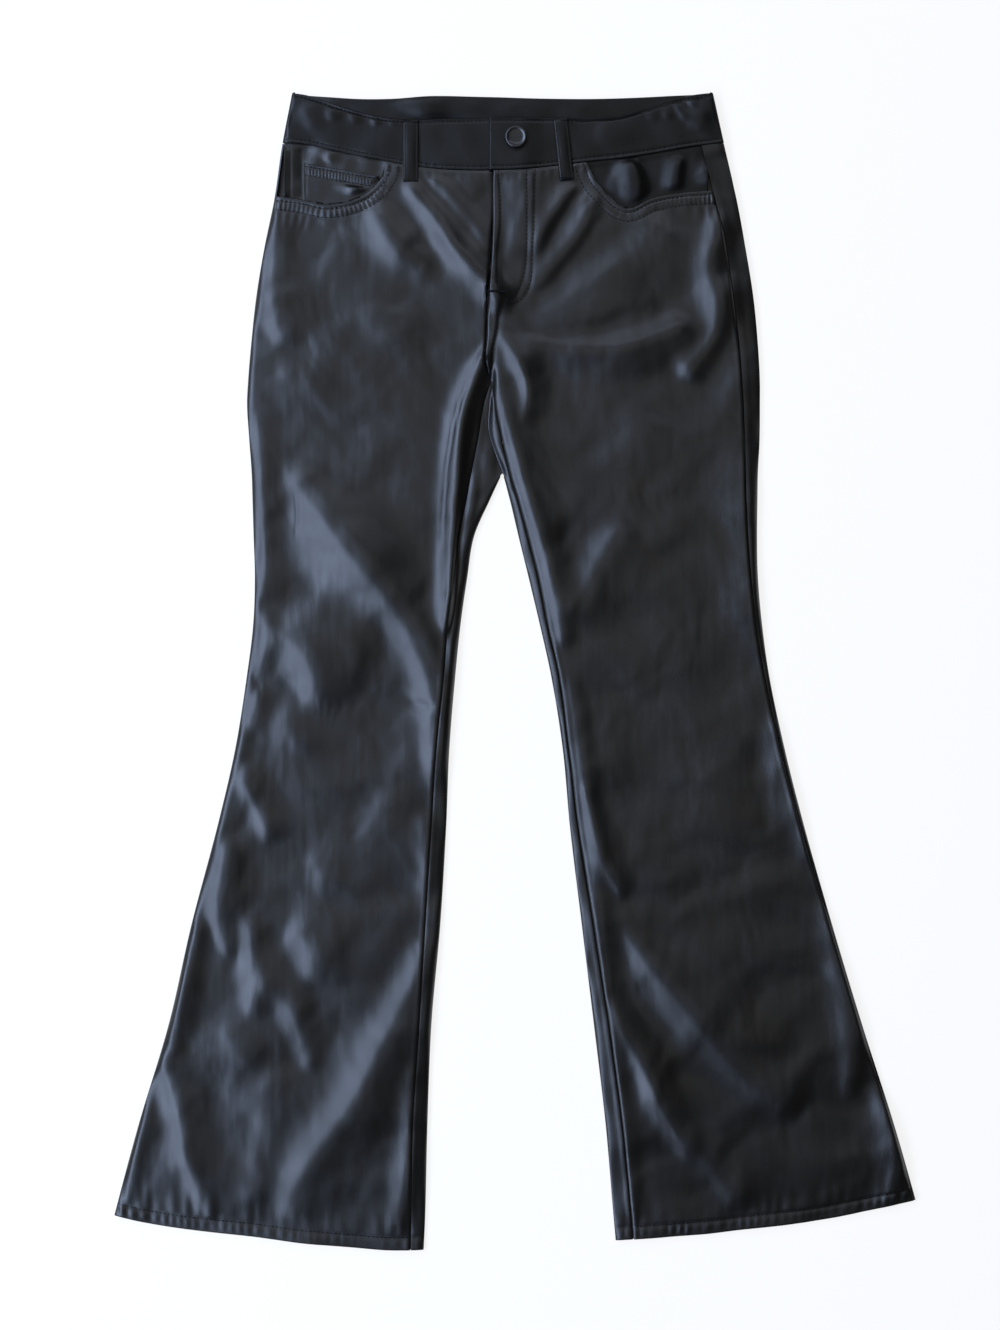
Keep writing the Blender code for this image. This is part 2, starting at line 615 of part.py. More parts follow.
leg_panel("front_right", RIGHT_LEG, front_right_columns, front_top_r, hem_r_y, flat_lie, leather)
leg_panel("front_left", LEFT_LEG, front_left_columns, front_top_l, hem_l_y, fly_lap, leather)
leg_panel("back_right", RIGHT_LEG, back_right_columns, back_top, hem_r_y, flat_lie, back_leather)
leg_panel("back_left", LEFT_LEG, back_left_columns, back_top, hem_l_y, flat_lie, back_leather)
waistband(band_leather)
pocket_facings(facing_leather)
coin_pocket(facing_leather)
fly_zip(zip_tape)
for loop_row in BELT_LOOPS:
    belt_loop(loop_row, band_leather)
button(button_shell)
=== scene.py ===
"""Faux leather flared trousers lying flat, front up: the finished surfaces, stitches, light and camera.

Lengths are in millimetres in the part's own frame, and turned into metres as each mesh is made.
X runs across, with the wearer's right leg at -X. Y runs from the hems to the waist. Z is up, and the
surface that the trousers lie on is at zero.
"""
import math
from collections import namedtuple

import bpy
import numpy as np
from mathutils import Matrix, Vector


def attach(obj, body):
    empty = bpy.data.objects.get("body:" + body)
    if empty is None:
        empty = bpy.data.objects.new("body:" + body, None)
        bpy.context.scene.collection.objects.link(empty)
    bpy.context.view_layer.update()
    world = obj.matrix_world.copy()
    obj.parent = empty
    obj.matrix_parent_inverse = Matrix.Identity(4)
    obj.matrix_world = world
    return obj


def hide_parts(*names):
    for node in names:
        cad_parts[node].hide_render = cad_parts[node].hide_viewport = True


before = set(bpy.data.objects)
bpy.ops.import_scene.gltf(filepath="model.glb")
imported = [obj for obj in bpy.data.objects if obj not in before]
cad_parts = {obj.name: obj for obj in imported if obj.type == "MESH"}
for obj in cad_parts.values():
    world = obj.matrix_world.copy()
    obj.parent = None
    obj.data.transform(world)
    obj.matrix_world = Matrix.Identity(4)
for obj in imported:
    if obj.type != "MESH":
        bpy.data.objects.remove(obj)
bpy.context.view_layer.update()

MM = 0.001

# Cloth and seams
WALL = 1.0              # one layer of faux leather
BAND_WALL = 1.8         # the waistband, folded double and fused
STRAP_WALL = 1.0        # a belt loop, folded and pressed
GAP = 0.3               # between two pieces at a seam

# Levels, from the waist down
BAND_SIDE = (380.5, 417.0)      # the waistband's lower and upper edge at the side folds
WAIST_LEVEL = 380.0             # level of the panels' top row
MOUTH_LEVEL = 305.0             # the rows above this level close up to the pocket mouths
CROTCH_Y = 210.0                # where the front rise meets the inseams
FORK_Y = 143.0                  # where the two legs part
HEM_EASE_LEVEL = -340.0         # the rows below this level close up to the slanted hems
HEM_LEVEL = -400.0
HEM_DEPTH = 9.2                 # the turned-up hem, and its row of stitches
BACK_SEAM_X = -9.0              # the backs' centre seam
SIDES = (-160.0, 127.0)         # outside these the backs' waist seam has come round to the front

# Thickness of the lying stack
EDGE_ROUND = 5.0        # how far in from its edges a leg is rounded
FORK_ROUND = 0.8        # and at the fork
LOOP_LIFT = 1.3         # the back belt loops lift the waist off the surface by this much
BAND_TOP = 6.3          # upper side of the waistband, without its folds
FLY_LIFT = 1.4          # the left front lies this much higher over the right one
LOWEST_TOP = 2.7        # the upper cloth hardly sinks below this, as it lies on the under cloth
FACING_TOP = 3.6        # upper side of a pocket facing
COIN_TOP = 4.9          # upper side of the coin pocket on it
ZIP_X = -11.0           # middle of the fly zip

# Pocket pieces and stitches
BAG_Y = 298.0           # where the facings' bags end
COIN_LEFT = -152.6      # the coin pocket's side edge
COIN_WIDTH = 55.0
COIN_ROWS = (2.0, 7.8)  # from the coin pocket's top edge to its two rows of stitches
MOUTH_ROWS = (3.0, 9.3)         # from a pocket mouth's edge to its two rows
BAND_ROWS = (2.2, 2.8)          # from the waistband's top edge and from its seam to its rows
STITCH = (3.0, 2.4, 0.72)       # pitch, length and width of a plain stitch
SHARP_CLOTH = 55        # a cloth piece's edges over this many degrees are shaded sharp


def table(columns, *rows):
    """Rows with named columns."""
    row_of = namedtuple("Row", columns)
    return [row_of(*row) for row in rows]


# Outer edges, inner edges and seams of the legs, _r for the right and _l for the left
SECTIONS = table("y outer_r inseam_r inner_r inner_l inseam_l outseam_l outer_l",
    (417, -160.5, None, None, None, None, 128.0, 142.6),
    (380, -167.6, None, None, None, None, 134.0, 150.8),
    (340, -173.5, None, None, None, None, 144.0, 160.0),
    (305, -180.7, None, None, None, None, 152.3, 166.3),
    (270, -186.5, None, None, None, None, 157.0, 172.0),
    (236, -190.2, None, None, None, None, 161.6, 175.2),
    (210, -192.4, -17.0, None, None, -17.0, 163.5, 176.6),
    (193, -193.2, -22.3, None, None, -14.6, 164.6, 176.6),
    (167, -191.6, -26.6, None, None, -9.5, 165.6, 176.4),
    (143, -189.9, -31.4, -9.2, -8.8, -4.0, 166.0, 175.3),
    (124, -189.3, -34.8, -18.0, -3.8, 1.8, 166.4, 174.9),
    (98, -188.5, -40.0, -29.3, 2.4, 9.0, 167.8, 174.6),
    (67, -187.6, -44.0, -34.5, 10.0, 16.8, 170.0, 175.3),
    (34, -188.8, -48.2, -39.2, 17.8, 23.4, 173.6, 178.2),
    (-2, -193.2, -51.0, -42.9, 25.8, 31.7, 179.8, 183.2),
    (-56, -201.8, -56.5, -47.3, 34.4, 38.8, 191.3, 194.6),
    (-110, -214.2, -60.0, -49.5, 39.4, 45.4, 205.4, 208.2),
    (-182, -233.2, -64.5, -53.8, 48.1, 56.6, 227.3, 228.6),
    (-254, -249.6, -68.8, -60.2, 56.8, 67.7, 249.2, 250.2),
    (-326, -271.2, -73.4, -63.1, 65.3, 77.5, 272.2, 273.2),
    (-392, -288.9, -74.8, -64.7, 71.0, 84.0, 290.9, 291.9),
    (-417, -295.2, -75.2, -65.8, 73.2, 86.0, 297.2, 298.2),
)

# The fly's two lapping edges, and the line between the legs from the crotch to the fork
FLY = table("y left_edge right_edge",
    (417, -18.4, -9.0), (361, -15.8, -9.0), (325, -15.9, -9.2), (297, -17.2, -10.5), (272, -19.6, -14.0),
    (240, -20.6, -16.6), (231, -21.6, -18.0), (222, -21.4, -21.7), (210, -16.9, -17.2),
)
RISE = [(CROTCH_Y, -17.0), (193.0, -18.8), (175.0, -19.6), (160.0, -15.6), (FORK_Y, -9.0)]

# Levels of the waistband's seam and top edge, along the front and along the back
BAND_COLUMNS = "x seam top"
FRONT_BAND = table(BAND_COLUMNS,
    (-167, 380.5, 417.0), (-150, 379.3, 414.8), (-122, 373.2, 405.7), (-96, 368.0, 399.2),
    (-76, 364.4, 397.2), (-50, 361.5, 398.0), (-18, 360.8, 398.5), (8, 361.7, 398.5), (30, 364.3, 398.5),
    (55, 367.2, 398.8), (80, 370.0, 401.4), (98, 372.7, 406.8), (126, 377.6, 414.6), (150, 380.5, 417.0),
)
BACK_BAND = table(BAND_COLUMNS,
    (-166, 380.5, 417.0), (-136, 378.0, 413.8), (-112, 376.8, 412.2), (-90, 376.0, 412.3),
    (-60, 375.7, 414.1), (-18, 375.5, 413.6), (20, 375.0, 412.5), (60, 375.5, 412.3), (105, 377.5, 414.0),
    (148, 380.5, 417.0),
)
# Pocket mouths and the coin pocket's top edge, each from the wearer's right to the left
MOUTH_R = [(-176, 342.5), (-163, 341), (-150, 339), (-136, 336), (-122, 337.6), (-109, 342.4),
           (-102.5, 347), (-97, 353), (-93.6, 359), (-93, 366)]
MOUTH_L = [(51.8, 366), (57, 354), (65, 344), (74, 336), (81.4, 333), (97, 340), (116, 344), (160, 347)]
COIN_EDGE = [(-152.6, 365.8), (-96.0, 356.0)]
# How much the right facing stands up at each x, along the side
SIDE_STRIP = [(-167, 3.1), (-161.6, 0.8), (-160.2, 0.8), (-153.9, -0.9), (-143, 0.0)]
# The hems' lower edges
HEM_R = [(-288.7, -392), (-266, -397.5), (-230, -403), (-188, -407.4), (-154, -411.8), (-118, -415),
         (-92, -417), (-66, -416.8)]
HEM_L = [(73, -410), (103, -408), (134.5, -405.6), (166, -402), (202, -398), (228, -394),
         (254, -388.7), (288.5, -381)]
# Height of the upper cloth at each y before its folds, and how much of the fly's lift is left there
TOP_HEIGHT = [(417, 6.4), (330, 6.4), (270, 5.8), (210, 5.2), (143, 4.8), (60, 4.4), (-417, 4.4)]
LIFT_BY_LEVEL = [(417, 1.0), (222, 1.0), (214, 0.5), (206, 0.0), (-417, 0.0)]

# Rows of stitches on the fly and the crotch seam
FLY_EDGE_ROW = [(-11.8, 360), (-10.4, 325), (-12.6, 300), (-12.8, 277)]
FLY_CURVE_OUTER = [(14.4, 360), (13.2, 317), (12.2, 296), (11.3, 282), (7.2, 271), (-0.2, 264.6), (-6, 264)]
FLY_CURVE_INNER = [(8.3, 360), (8.4, 317), (7.4, 291.5), (4.3, 279), (-0.2, 269.4), (-7.2, 265.5)]
CROTCH_ROW = [(-7.9, 270), (-11.7, 256), (-12.7, 247), (-15.6, 233), (-16.6, 219.5), (-17.1, 212)]
# How deep each row sinks into the cloth, and the width over which the cloth rises again on its left
FLY_ROWS = table("line depth rise",
    (FLY_EDGE_ROW, 0.55, 10.0), (FLY_CURVE_OUTER, 0.4, 2.4), (FLY_CURVE_INNER, 0.35, 2.4),
    (CROTCH_ROW, 1.0, 2.4),
)
BAR_TACK = [(-19.3, 272.5), (-5.5, 272.5)]

# Folds of the upper cloth, named for where they lie. Each has a facet that faces the light and rises to a
# crest. crest lists points (x, y, width) along that high border, with the facet's width there. slope is how
# steeply the facet rises. far is how many of those widths the cloth behind the crest takes to come down
# again, as one number or as a pair for the crest's start and end. soft is how many millimetres the crest is
# rounded over.
FOLD_COLUMNS = "name slope far soft crest"
FRONT_FOLDS = table(FOLD_COLUMNS,
    ("hip drag to the fly", 0.50, 1.1, 4, [(-84, 356, 5), (-72, 342, 9), (-62, 330, 12), (-53, 318, 14),
        (-45, 304, 15), (-34, 291, 16), (-22.5, 280, 16), (-15, 268, 13), (-15, 252, 5)]),
    ("upper drag to the fly", 0.34, 1.2, 4, [(-67, 360, 3), (-54, 348, 8), (-41, 334, 9), (-31, 322, 10),
        (-23, 310, 10), (-17, 296, 7)]),
    ("short drag by the fly", 0.22, 1.4, 5, [(-47, 360, 4), (-35, 350, 7), (-24, 338, 6)]),
    ("hip curve", 0.32, 0.9, 8, [(-106, 342, 8), (-100, 327, 14), (-93, 313, 18), (-83, 300, 19),
        (-68, 289, 13), (-52, 280, 6)]),
    ("side hip", 0.30, 2.4, 8, [(-168, 336, 6), (-173, 318, 8), (-174, 298, 8), (-174, 284, 11),
        (-173, 266, 16), (-172, 250, 14), (-178, 236, 7)]),
    ("hip dimple", 0.12, 2.5, 10, [(-98, 272, 8), (-100, 256, 18), (-112, 240, 8)]),
    ("hip wrinkle", 0.13, 2.2, 9, [(-150, 248, 6), (-141, 230, 16), (-143, 212, 16), (-156, 196, 6)]),
    ("low hip wrinkle", 0.13, 2.0, 9, [(-172, 228, 6), (-163, 212, 18), (-162, 198, 16), (-170, 180, 6)]),
    ("second thin wrinkle", 0.11, 2.0, 7, [(-124, 234, 6), (-114, 216, 12), (-108, 198, 6)]),
    ("knee sweep", 0.38, 1.35, 10, [(-172, 154, 4), (-156, 133, 13), (-140, 113, 27), (-126, 94, 33),
        (-111, 75, 34), (-98, 58, 28), (-86, 43, 23), (-75, 24, 18), (-66, 3, 17), (-61, -18, 18),
        (-60, -40, 14), (-61, -62, 10), (-64, -90, 5)]),
    ("knee side", 0.31, 2.2, 7, [(-182, 39, 4), (-169, 30, 16), (-157, 18, 25), (-148, 5, 26),
        (-145, -7, 21), (-148, -19, 14), (-156, -31, 5)]),
    ("below the knee side", 0.15, 2.0, 7, [(-178, -30, 5), (-165, -38, 12), (-158, -50, 12),
        (-160, -62, 5)]),
    ("knee edge", 0.26, 1.1, 4, [(-186, 45, 4), (-180, 36, 8), (-178, 24, 9), (-182, 8, 7),
        (-185, -8, 5)]),
    ("low knee edge", 0.31, 1.6, 4, [(-184, -8, 5), (-186, -20, 9), (-190, -34, 7), (-194, -46, 5)]),
    ("knee middle", 0.09, 2.0, 12, [(-122, 40, 10), (-114, 24, 18), (-116, 4, 15), (-122, -12, 8)]),
    ("outer thigh", 0.28, 3.0, 4, [(-187, 190, 4), (-183, 150, 7), (-181, 110, 6), (-180, 75, 6),
        (-183, 48, 5)]),
    ("inner thigh", 0.52, (1.0, -0.05), 3, [(-20.5, 244, 2), (-22, 234, 4), (-26, 221, 9), (-33, 203, 13),
        (-38, 186, 14), (-41, 167, 14), (-43, 140, 14), (-45, 115, 13), (-46.5, 92, 12), (-47.5, 70, 13),
        (-49, 46, 14), (-52, 22, 6)]),
    ("right inseam bank", 0.36, 0.5, 3, [(-29.5, 148, 2), (-31, 130, 4), (-35, 108, 4.5), (-38.5, 85, 4.5),
        (-42.5, 55, 4), (-45.5, 30, 4), (-48, -5, 3)]),
    ("back strip patch", 0.16, 1.2, 5, [(-16, 172, 3), (-20, 160, 6), (-22, 146, 5), (-27, 128, 3)]),
    ("outer calf", 0.31, 2.2, 5, [(-203, -70, 4), (-193, -84, 9), (-186, -98, 10), (-181, -112, 10),
        (-178, -128, 5)]),
    ("outer calf edge", 0.31, 1.8, 4, [(-196, -36, 4), (-199, -52, 5), (-206, -66, 4)]),
    ("outer calf low", 0.30, 2.0, 5, [(-208, -116, 4), (-210, -134, 10), (-212, -150, 13),
        (-215, -166, 11), (-214, -182, 8), (-209, -198, 6), (-206, -210, 4)]),
    ("calf edge", 0.36, 1.5, 4, [(-228, -176, 4), (-235, -205, 8), (-242, -235, 10), (-247, -262, 9),
        (-250, -280, 4)]),
    ("calf upright", 0.27, 1.6, 5, [(-196, -170, 3), (-192, -188, 9), (-189, -205, 13), (-187, -222, 14),
        (-190, -238, 10), (-194, -254, 4)]),
    ("calf blob", 0.24, 1.8, 7, [(-168, -178, 5), (-157, -186, 16), (-148, -198, 19), (-147, -212, 14),
        (-151, -228, 6)]),
    ("calf arc", 0.23, 1.4, 5, [(-190, -220, 4), (-177, -229, 9), (-163, -241, 11), (-156, -257, 12),
        (-152, -275, 10), (-150, -294, 5)]),
    ("calf low side", 0.14, 1.6, 8, [(-214, -252, 5), (-204, -268, 12), (-193, -281, 12),
        (-183, -290, 6)]),
    ("calf low patch", 0.12, 1.3, 10, [(-178, -276, 7), (-177, -296, 17), (-181, -316, 17),
        (-186, -340, 13), (-190, -362, 10), (-195, -388, 7)]),
    ("long calf diagonal", 0.31, 2.2, 7, [(-70, -184, 4), (-68, -200, 12), (-72, -220, 16),
        (-81, -240, 18), (-93, -262, 20), (-105, -287, 21), (-119, -311, 22), (-136, -335, 22),
        (-151, -358, 21), (-162, -378, 15), (-170, -400, 8)]),
    ("lower inner", 0.23, 0.8, 5, [(-75, -278, 4), (-76, -300, 9), (-77, -328, 11), (-79, -355, 13),
        (-83, -380, 12), (-89, -408, 9)]),
    ("lower outer", 0.31, 2.2, 5, [(-260, -264, 4), (-252, -286, 11), (-246, -306, 14), (-241, -325, 14),
        (-238, -344, 12), (-234, -362, 10), (-226, -380, 8), (-218, -400, 5)]),
    ("hem corner", 0.28, 1.6, 4, [(-265, -306, 4), (-270, -330, 7), (-276, -356, 7), (-281, -384, 6)]),
    ("inseam patch", 0.22, 0.9, 5, [(-65, -96, 4), (-66, -114, 12), (-65, -134, 9), (-66, -152, 8),
        (-70, -164, 4)]),
    ("shin diagonal", 0.12, 2.0, 11, [(-84, -74, 6), (-95, -98, 18), (-111, -119, 22), (-133, -133, 18),
        (-158, -142, 10)]),
    ("low shin diagonal", 0.10, 2.0, 12, [(-72, -160, 7), (-92, -176, 19), (-120, -180, 22),
        (-146, -176, 12)]),
    ("left crotch", 0.46, (0.6, 2.6), 3, [(-13, 248, 1.5), (-9, 240, 4), (-2.5, 230, 8), (4, 219, 12),
        (8, 207, 12), (8.5, 197, 10), (7, 187, 6), (3, 174, 3)]),
    ("fly panel", 0.14, 1.4, 6, [(11, 358, 3), (9, 344, 8), (4, 328, 9), (-2, 311, 8), (-7, 292, 4)]),
    ("left fly drag", 0.30, 0.5, 3, [(45, 357, 4), (31, 337, 11), (21, 322, 12), (15, 308, 10),
        (13, 294, 5)]),
    ("second fly drag", 0.22, 0.5, 5, [(58, 353, 4), (53, 337, 11), (46, 321, 12), (36, 307, 12),
        (26, 295, 12), (15, 282, 10), (6, 273, 4)]),
    ("left hip patch", 0.20, 1.5, 11, [(113, 336, 8), (101, 319, 18), (86, 302, 22), (67, 286, 20),
        (46, 272, 16), (24, 261, 10), (6, 256, 5)]),
    ("left smile", 0.38, 2.0, 5, [(-2, 243, 3), (20, 237, 9), (45, 233.5, 13), (70, 234, 16),
        (95, 240, 16), (115, 249, 13), (129, 258, 5)]),
    ("left hip S", 0.36, 1.0, 6, [(144, 339, 4), (143, 318, 11), (139, 298, 13), (139, 285, 15),
        (144, 270, 18), (145, 255, 13), (142, 242, 8), (133, 230, 8), (124, 219, 13), (117, 206, 10)]),
    ("left outer patch", 0.14, 2.0, 9, [(150, 230, 5), (157, 215, 14), (154, 200, 12), (147, 188, 5)]),
    ("left thigh patch", 0.12, 2.0, 10, [(92, 192, 6), (84, 172, 17), (70, 154, 16), (62, 140, 7)]),
    ("left outer thigh", 0.15, 0.7, 8, [(158, 178, 8), (162, 135, 24), (164, 100, 26), (167, 60, 25),
        (171, 24, 20), (176, 0, 10)]),
    ("left knee streak", 0.27, 2.0, 8, [(80, 114, 6), (68, 94, 14), (56, 71, 18), (45, 52, 16),
        (33, 33, 7)]),
    ("left outer calf", 0.27, 0.6, 6, [(184, -24, 5), (189, -50, 16), (198, -85, 20), (206, -112, 18),
        (211, -146, 9)]),
    ("left outer calf low", 0.28, 0.8, 6, [(220, -158, 6), (228, -200, 14), (237, -235, 16),
        (242, -262, 15), (240, -290, 10), (236, -312, 5)]),
    ("left hem side", 0.27, 0.7, 5, [(256, -292, 6), (266, -320, 14), (273, -348, 15), (270, -372, 10),
        (260, -388, 6)]),
    ("left inseam calf", 0.37, 1.8, 4, [(47, -76, 3), (54, -102, 6), (60, -124, 9), (68, -145, 9),
        (79, -166, 5)]),
    ("left calf diagonal", 0.31, (1.0, 2.8), 8, [(75, -186, 3), (91, -206, 10), (108, -226, 17),
        (124, -245, 20), (139, -263, 21), (158, -284, 20), (179, -303, 17), (207, -322, 9)]),
    ("left hem shade", 0.22, 1.6, 8, [(118, -324, 4), (134, -346, 12), (150, -368, 15), (164, -392, 12)]),
    ("left lower inner", 0.39, 1.7, 5, [(68, -232, 4), (80, -262, 10), (93, -289, 13), (105, -313, 14),
        (115, -330, 12), (122, -344, 9), (124, -358, 4)]),
)
# The slopes that rise from the left leg's inner edge, along the inseam and the crotch seam
INSEAM_BANKS = table(FOLD_COLUMNS,
    ("thigh bank", 0.42, 1.7, 4, [(-15, 222, 3), (-11, 200, 7), (-4, 175, 11), (3, 148, 13), (11, 120, 13),
        (18, 98, 12), (27, 62, 12), (32, 34, 8), (35, 14, 6)]),
    ("calf bank", 0.24, 1.2, 4, [(38, 0, 4), (43, -30, 8), (48, -70, 9), (54, -120, 9), (60, -180, 9),
        (68, -250, 9), (78, -330, 8), (84, -400, 7)]),
    ("felled strip", 0.10, 0.4, 1.5, [(-12, 330, 2), (-13, 310, 4), (-13.2, 277, 5), (-14, 255, 4.5),
        (-16, 238, 3.5), (-18, 224, 2)]),
)
# Folds of the pocket facings, the coin pocket, and the waistband's inside and front
FACING_FOLDS = table(FOLD_COLUMNS,
    ("facing swell", 0.33, 0.35, 7, [(70, 374, 5), (80, 362, 16), (84, 351, 19), (84, 341, 14),
        (80, 333, 8)]),
    ("facing ridge", 0.34, 0.4, 4, [(121, 377, 5), (116, 368, 10), (114, 358, 12), (114, 347, 10),
        (114, 340, 5)]),
    ("facing end", 0.33, 0.6, 3, [(130, 368, 4), (136, 361, 9), (138, 352, 9), (136, 344, 5)]),
    ("facing top", 0.18, 0.8, 4, [(106, 381, 3), (122, 376, 5), (136, 370, 5)]),
)
SIDE_FACING_FOLDS = table(FOLD_COLUMNS,
    ("facing patch", 0.33, 1.2, 2, [(-134, 377, 2), (-134.5, 371, 7), (-136, 365, 3)]),
)
COIN_FOLDS = table(FOLD_COLUMNS,
    ("coin patch", 0.28, 0.9, 5, [(-116.5, 357, 4), (-117, 349, 12), (-119, 340, 9)]),
)
BACK_BAND_FOLDS = table(FOLD_COLUMNS,
    ("inside patch", 0.16, 2.0, 8, [(-72, 418, 10), (-71, 407, 20), (-74, 396, 14)]),
)
BAND_FOLDS = table(FOLD_COLUMNS,
    ("band end right", 0.20, 1.5, 4, [(-156, 412, 4), (-150, 402, 9), (-147, 391, 7), (-149, 384, 4)]),
    ("right band pucker", 0.28, 1.0, 3, [(-137, 406, 3), (-133, 400, 5), (-132, 393, 3)]),
    ("small right pucker", 0.26, 1.0, 3, [(-120, 403, 2), (-117, 398, 4), (-116, 392, 2)]),
    ("bright right pucker", 0.40, 0.8, 2, [(-107, 403, 2), (-102, 398, 4), (-101, 390, 3)]),
    ("last right pucker", 0.30, 0.8, 2, [(-92, 399, 2), (-89, 395, 3), (-88, 391, 2)]),
    ("band middle", 0.16, 1.8, 8, [(57, 398, 4), (64, 386, 10), (62, 373, 6)]),
    ("first left pucker", 0.26, 1.0, 3, [(93, 404, 2), (97, 400, 4), (99, 394, 3)]),
    ("second left pucker", 0.30, 1.0, 2, [(104, 405, 2), (108, 401, 3.5), (111, 395, 3)]),
    ("bright left pucker", 0.42, 0.8, 2, [(112, 411, 2), (117, 405, 4), (121, 398, 4), (122, 392, 3)]),
    ("high left pucker", 0.42, 0.8, 2, [(121, 414, 2), (126, 410, 4), (129, 404, 4)]),
    ("band end left", 0.24, 1.6, 4, [(118, 400, 3), (128, 397, 10), (134, 390, 9), (134, 383, 5)]),
    ("band end", 0.20, 1.6, 3, [(130, 415, 3), (133, 405, 5), (138, 394, 6)]),
)

# Thin creases of the upper cloth, each a line with its width and depth
CREASES = table("name width depth line",
    ("inner thigh", 1.3, 0.9, [(-26.5, 230), (-31, 214), (-38, 198), (-43.5, 180), (-47, 160), (-50, 135),
        (-51.5, 110), (-52, 78)]),
    ("in the knee sweep", 1.1, 0.3, [(-160, 136), (-157, 115), (-159, 93)]),
    ("below the knee", 3.2, 1.7, [(-92, -17), (-76, -22), (-56, -27)]),
    ("knee edge", 1.3, 0.5, [(-191, -3), (-186, -8), (-182, -15)]),
    ("calf mark", 0.8, 0.3, [(-174, -315), (-171, -323)]),
    ("under the smile", 1.6, 0.35, [(-10, 253), (-3, 247), (6, 243)]),
    ("hip line", 1.2, 0.25, [(-88, 236), (-80, 235), (-75, 234)]),
)

LOOP_COLUMNS = "node x_top x_bottom low high width"
FRONT_LOOPS = table(LOOP_COLUMNS,
    ("belt_loop_front_right", -75.0, -75.0, 351.4, 396.6, 11.0),
    ("belt_loop_front_left", 32.6, 37.4, 353.6, 398.0, 10.0),
)
BACK_LOOPS = table(LOOP_COLUMNS,
    ("belt_loop_back_right", -68.0, -68.0, 364.0, 410.6, 10.0),
    ("belt_loop_back_centre", -9.0, -9.0, 364.0, 410.6, 10.0),
    ("belt_loop_back_left", 44.0, 44.0, 364.0, 410.6, 10.0),
)
LOOP_BASE = 6.7         # height of the front loops' seated side

# The hidden zip's flat strips: left, right, lower and upper edge, height of the upper side, and thickness
ZIP_TAPE = (-19.0, -3.0, 281.0, 362.0, 3.3, 0.7)
ZIP_SLIDER = (-14.0, -8.0, 347.0, 355.5, 4.9, 1.4)
ZIP_PULL = (-12.8, -9.2, 330.0, 346.5, 4.9, 0.5)

# What each piece is cut to, as far as it shows, in metres: the rectangle round it and its area, with the
# pieces it lies on
CUTS = table("node width length area rests_on",
    ("back_right", 0.296, 0.800, 0.145, ()),
    ("back_left", 0.300, 0.800, 0.149, ()),
    ("front_right", 0.280, 0.790, 0.128, ("back_right",)),
    ("front_left", 0.300, 0.790, 0.128, ("back_left", "front_right")),
    ("pocket_facing_right", 0.080, 0.085, 0.0063, ("back_right",)),
    ("pocket_facing_left", 0.092, 0.082, 0.0071, ("back_left",)),
    ("coin_pocket", 0.055, 0.036, 0.0017, ("pocket_facing_right",)),
    ("fly_zip", 0.016, 0.081, None, ("back_right",)),
    ("waistband", 0.642, 0.0365, None, tuple(loop.node for loop in BACK_LOOPS)),
    ("belt_loop_front_right", 0.011, 0.0452, None, ("waistband", "front_right")),
    ("belt_loop_front_left", 0.010, 0.0446, None, ("waistband", "front_left")),
    ("belt_loop_back_right", 0.010, 0.0466, None, ()),
    ("belt_loop_back_centre", 0.010, 0.0466, None, ()),
    ("belt_loop_back_left", 0.010, 0.0466, None, ()),
)


# ---- Curves from the tables ------------------------------------------------------------------------------
def straight(pairs):
    """Position to value through the pairs in straight stretches, level beyond the two ends."""
    t, v = (np.array(a, float) for a in zip(*sorted(pairs)))
    return lambda q: np.interp(q, t, v)


def smooth(pairs):
    """Position to value on one smooth curve through the pairs, straight on beyond the two ends."""
    t, v = (np.array(a, float) for a in zip(*sorted(pairs)))
    chords = np.diff(v) / np.diff(t)
    slopes = np.concatenate(([chords[0]], (chords[:-1] + chords[1:]) / 2, [chords[-1]]))

    def value(q):
        q = np.asarray(q, float)
        i = np.clip(np.searchsorted(t, q, side="right") - 1, 0, len(chords) - 1)
        span = t[i + 1] - t[i]
        u = np.clip((q - t[i]) / span, 0, 1)
        inside = ((2 * u**3 - 3 * u**2 + 1) * v[i] + (u**3 - 2 * u**2 + u) * span * slopes[i]
                  + (3 * u**2 - 2 * u**3) * v[i + 1] + (u**3 - u**2) * span * slopes[i + 1])
        return inside + np.minimum(q - t[0], 0) * slopes[0] + np.maximum(q - t[-1], 0) * slopes[-1]
    return value


def column(rows, key, name):
    """One named column of a table as a smooth curve over another, from the rows that have it."""
    pairs = [(getattr(row, key), getattr(row, name)) for row in rows]
    return smooth([pair for pair in pairs if pair[1] is not None])


def step(value, none_at, all_at):
    """0 as far as none_at and 1 beyond all_at, whichever is higher, and smooth between them."""
    t = np.clip((value - none_at) / (all_at - none_at), 0.0, 1.0)
    return t * t * (3 - 2 * t)


def to_end(share):
    """How far a share is from the nearer of 0 and 1."""
    return np.minimum(share, 1 - share)


def fading(share, speed):
    """1 along a line, and soft down to 0 over its ends: the faster, the shorter they are."""
    return step(speed * share, 0, 1) * step(speed * (1 - share), 0, 1)


def bell(d, width):
    """1 at a distance of 0, and soft down to 0 within about two widths."""
    return np.exp(-(d / width)**2)


def walked_to(points):
    """How far along a line each of its points lies."""
    return np.concatenate(([0], np.cumsum(np.linalg.norm(np.diff(points, axis=0), axis=1))))


def spline(points, steps=8):
    """A smooth line through points, as an array of closely spaced points."""
    points = np.array(points, float)
    t = walked_to(points)
    fine = np.linspace(0, t[-1], steps * (len(points) - 1) + 1)
    return np.stack([smooth(list(zip(t, points[:, k])))(fine) for k in (0, 1)], axis=1)


def shifted(line, distance):
    """A line moved sideways, to its right as it is walked."""
    run = np.gradient(line, axis=0)
    run /= np.linalg.norm(run, axis=1, keepdims=True)
    return line + distance * np.stack([run[:, 1], -run[:, 0]], axis=1)


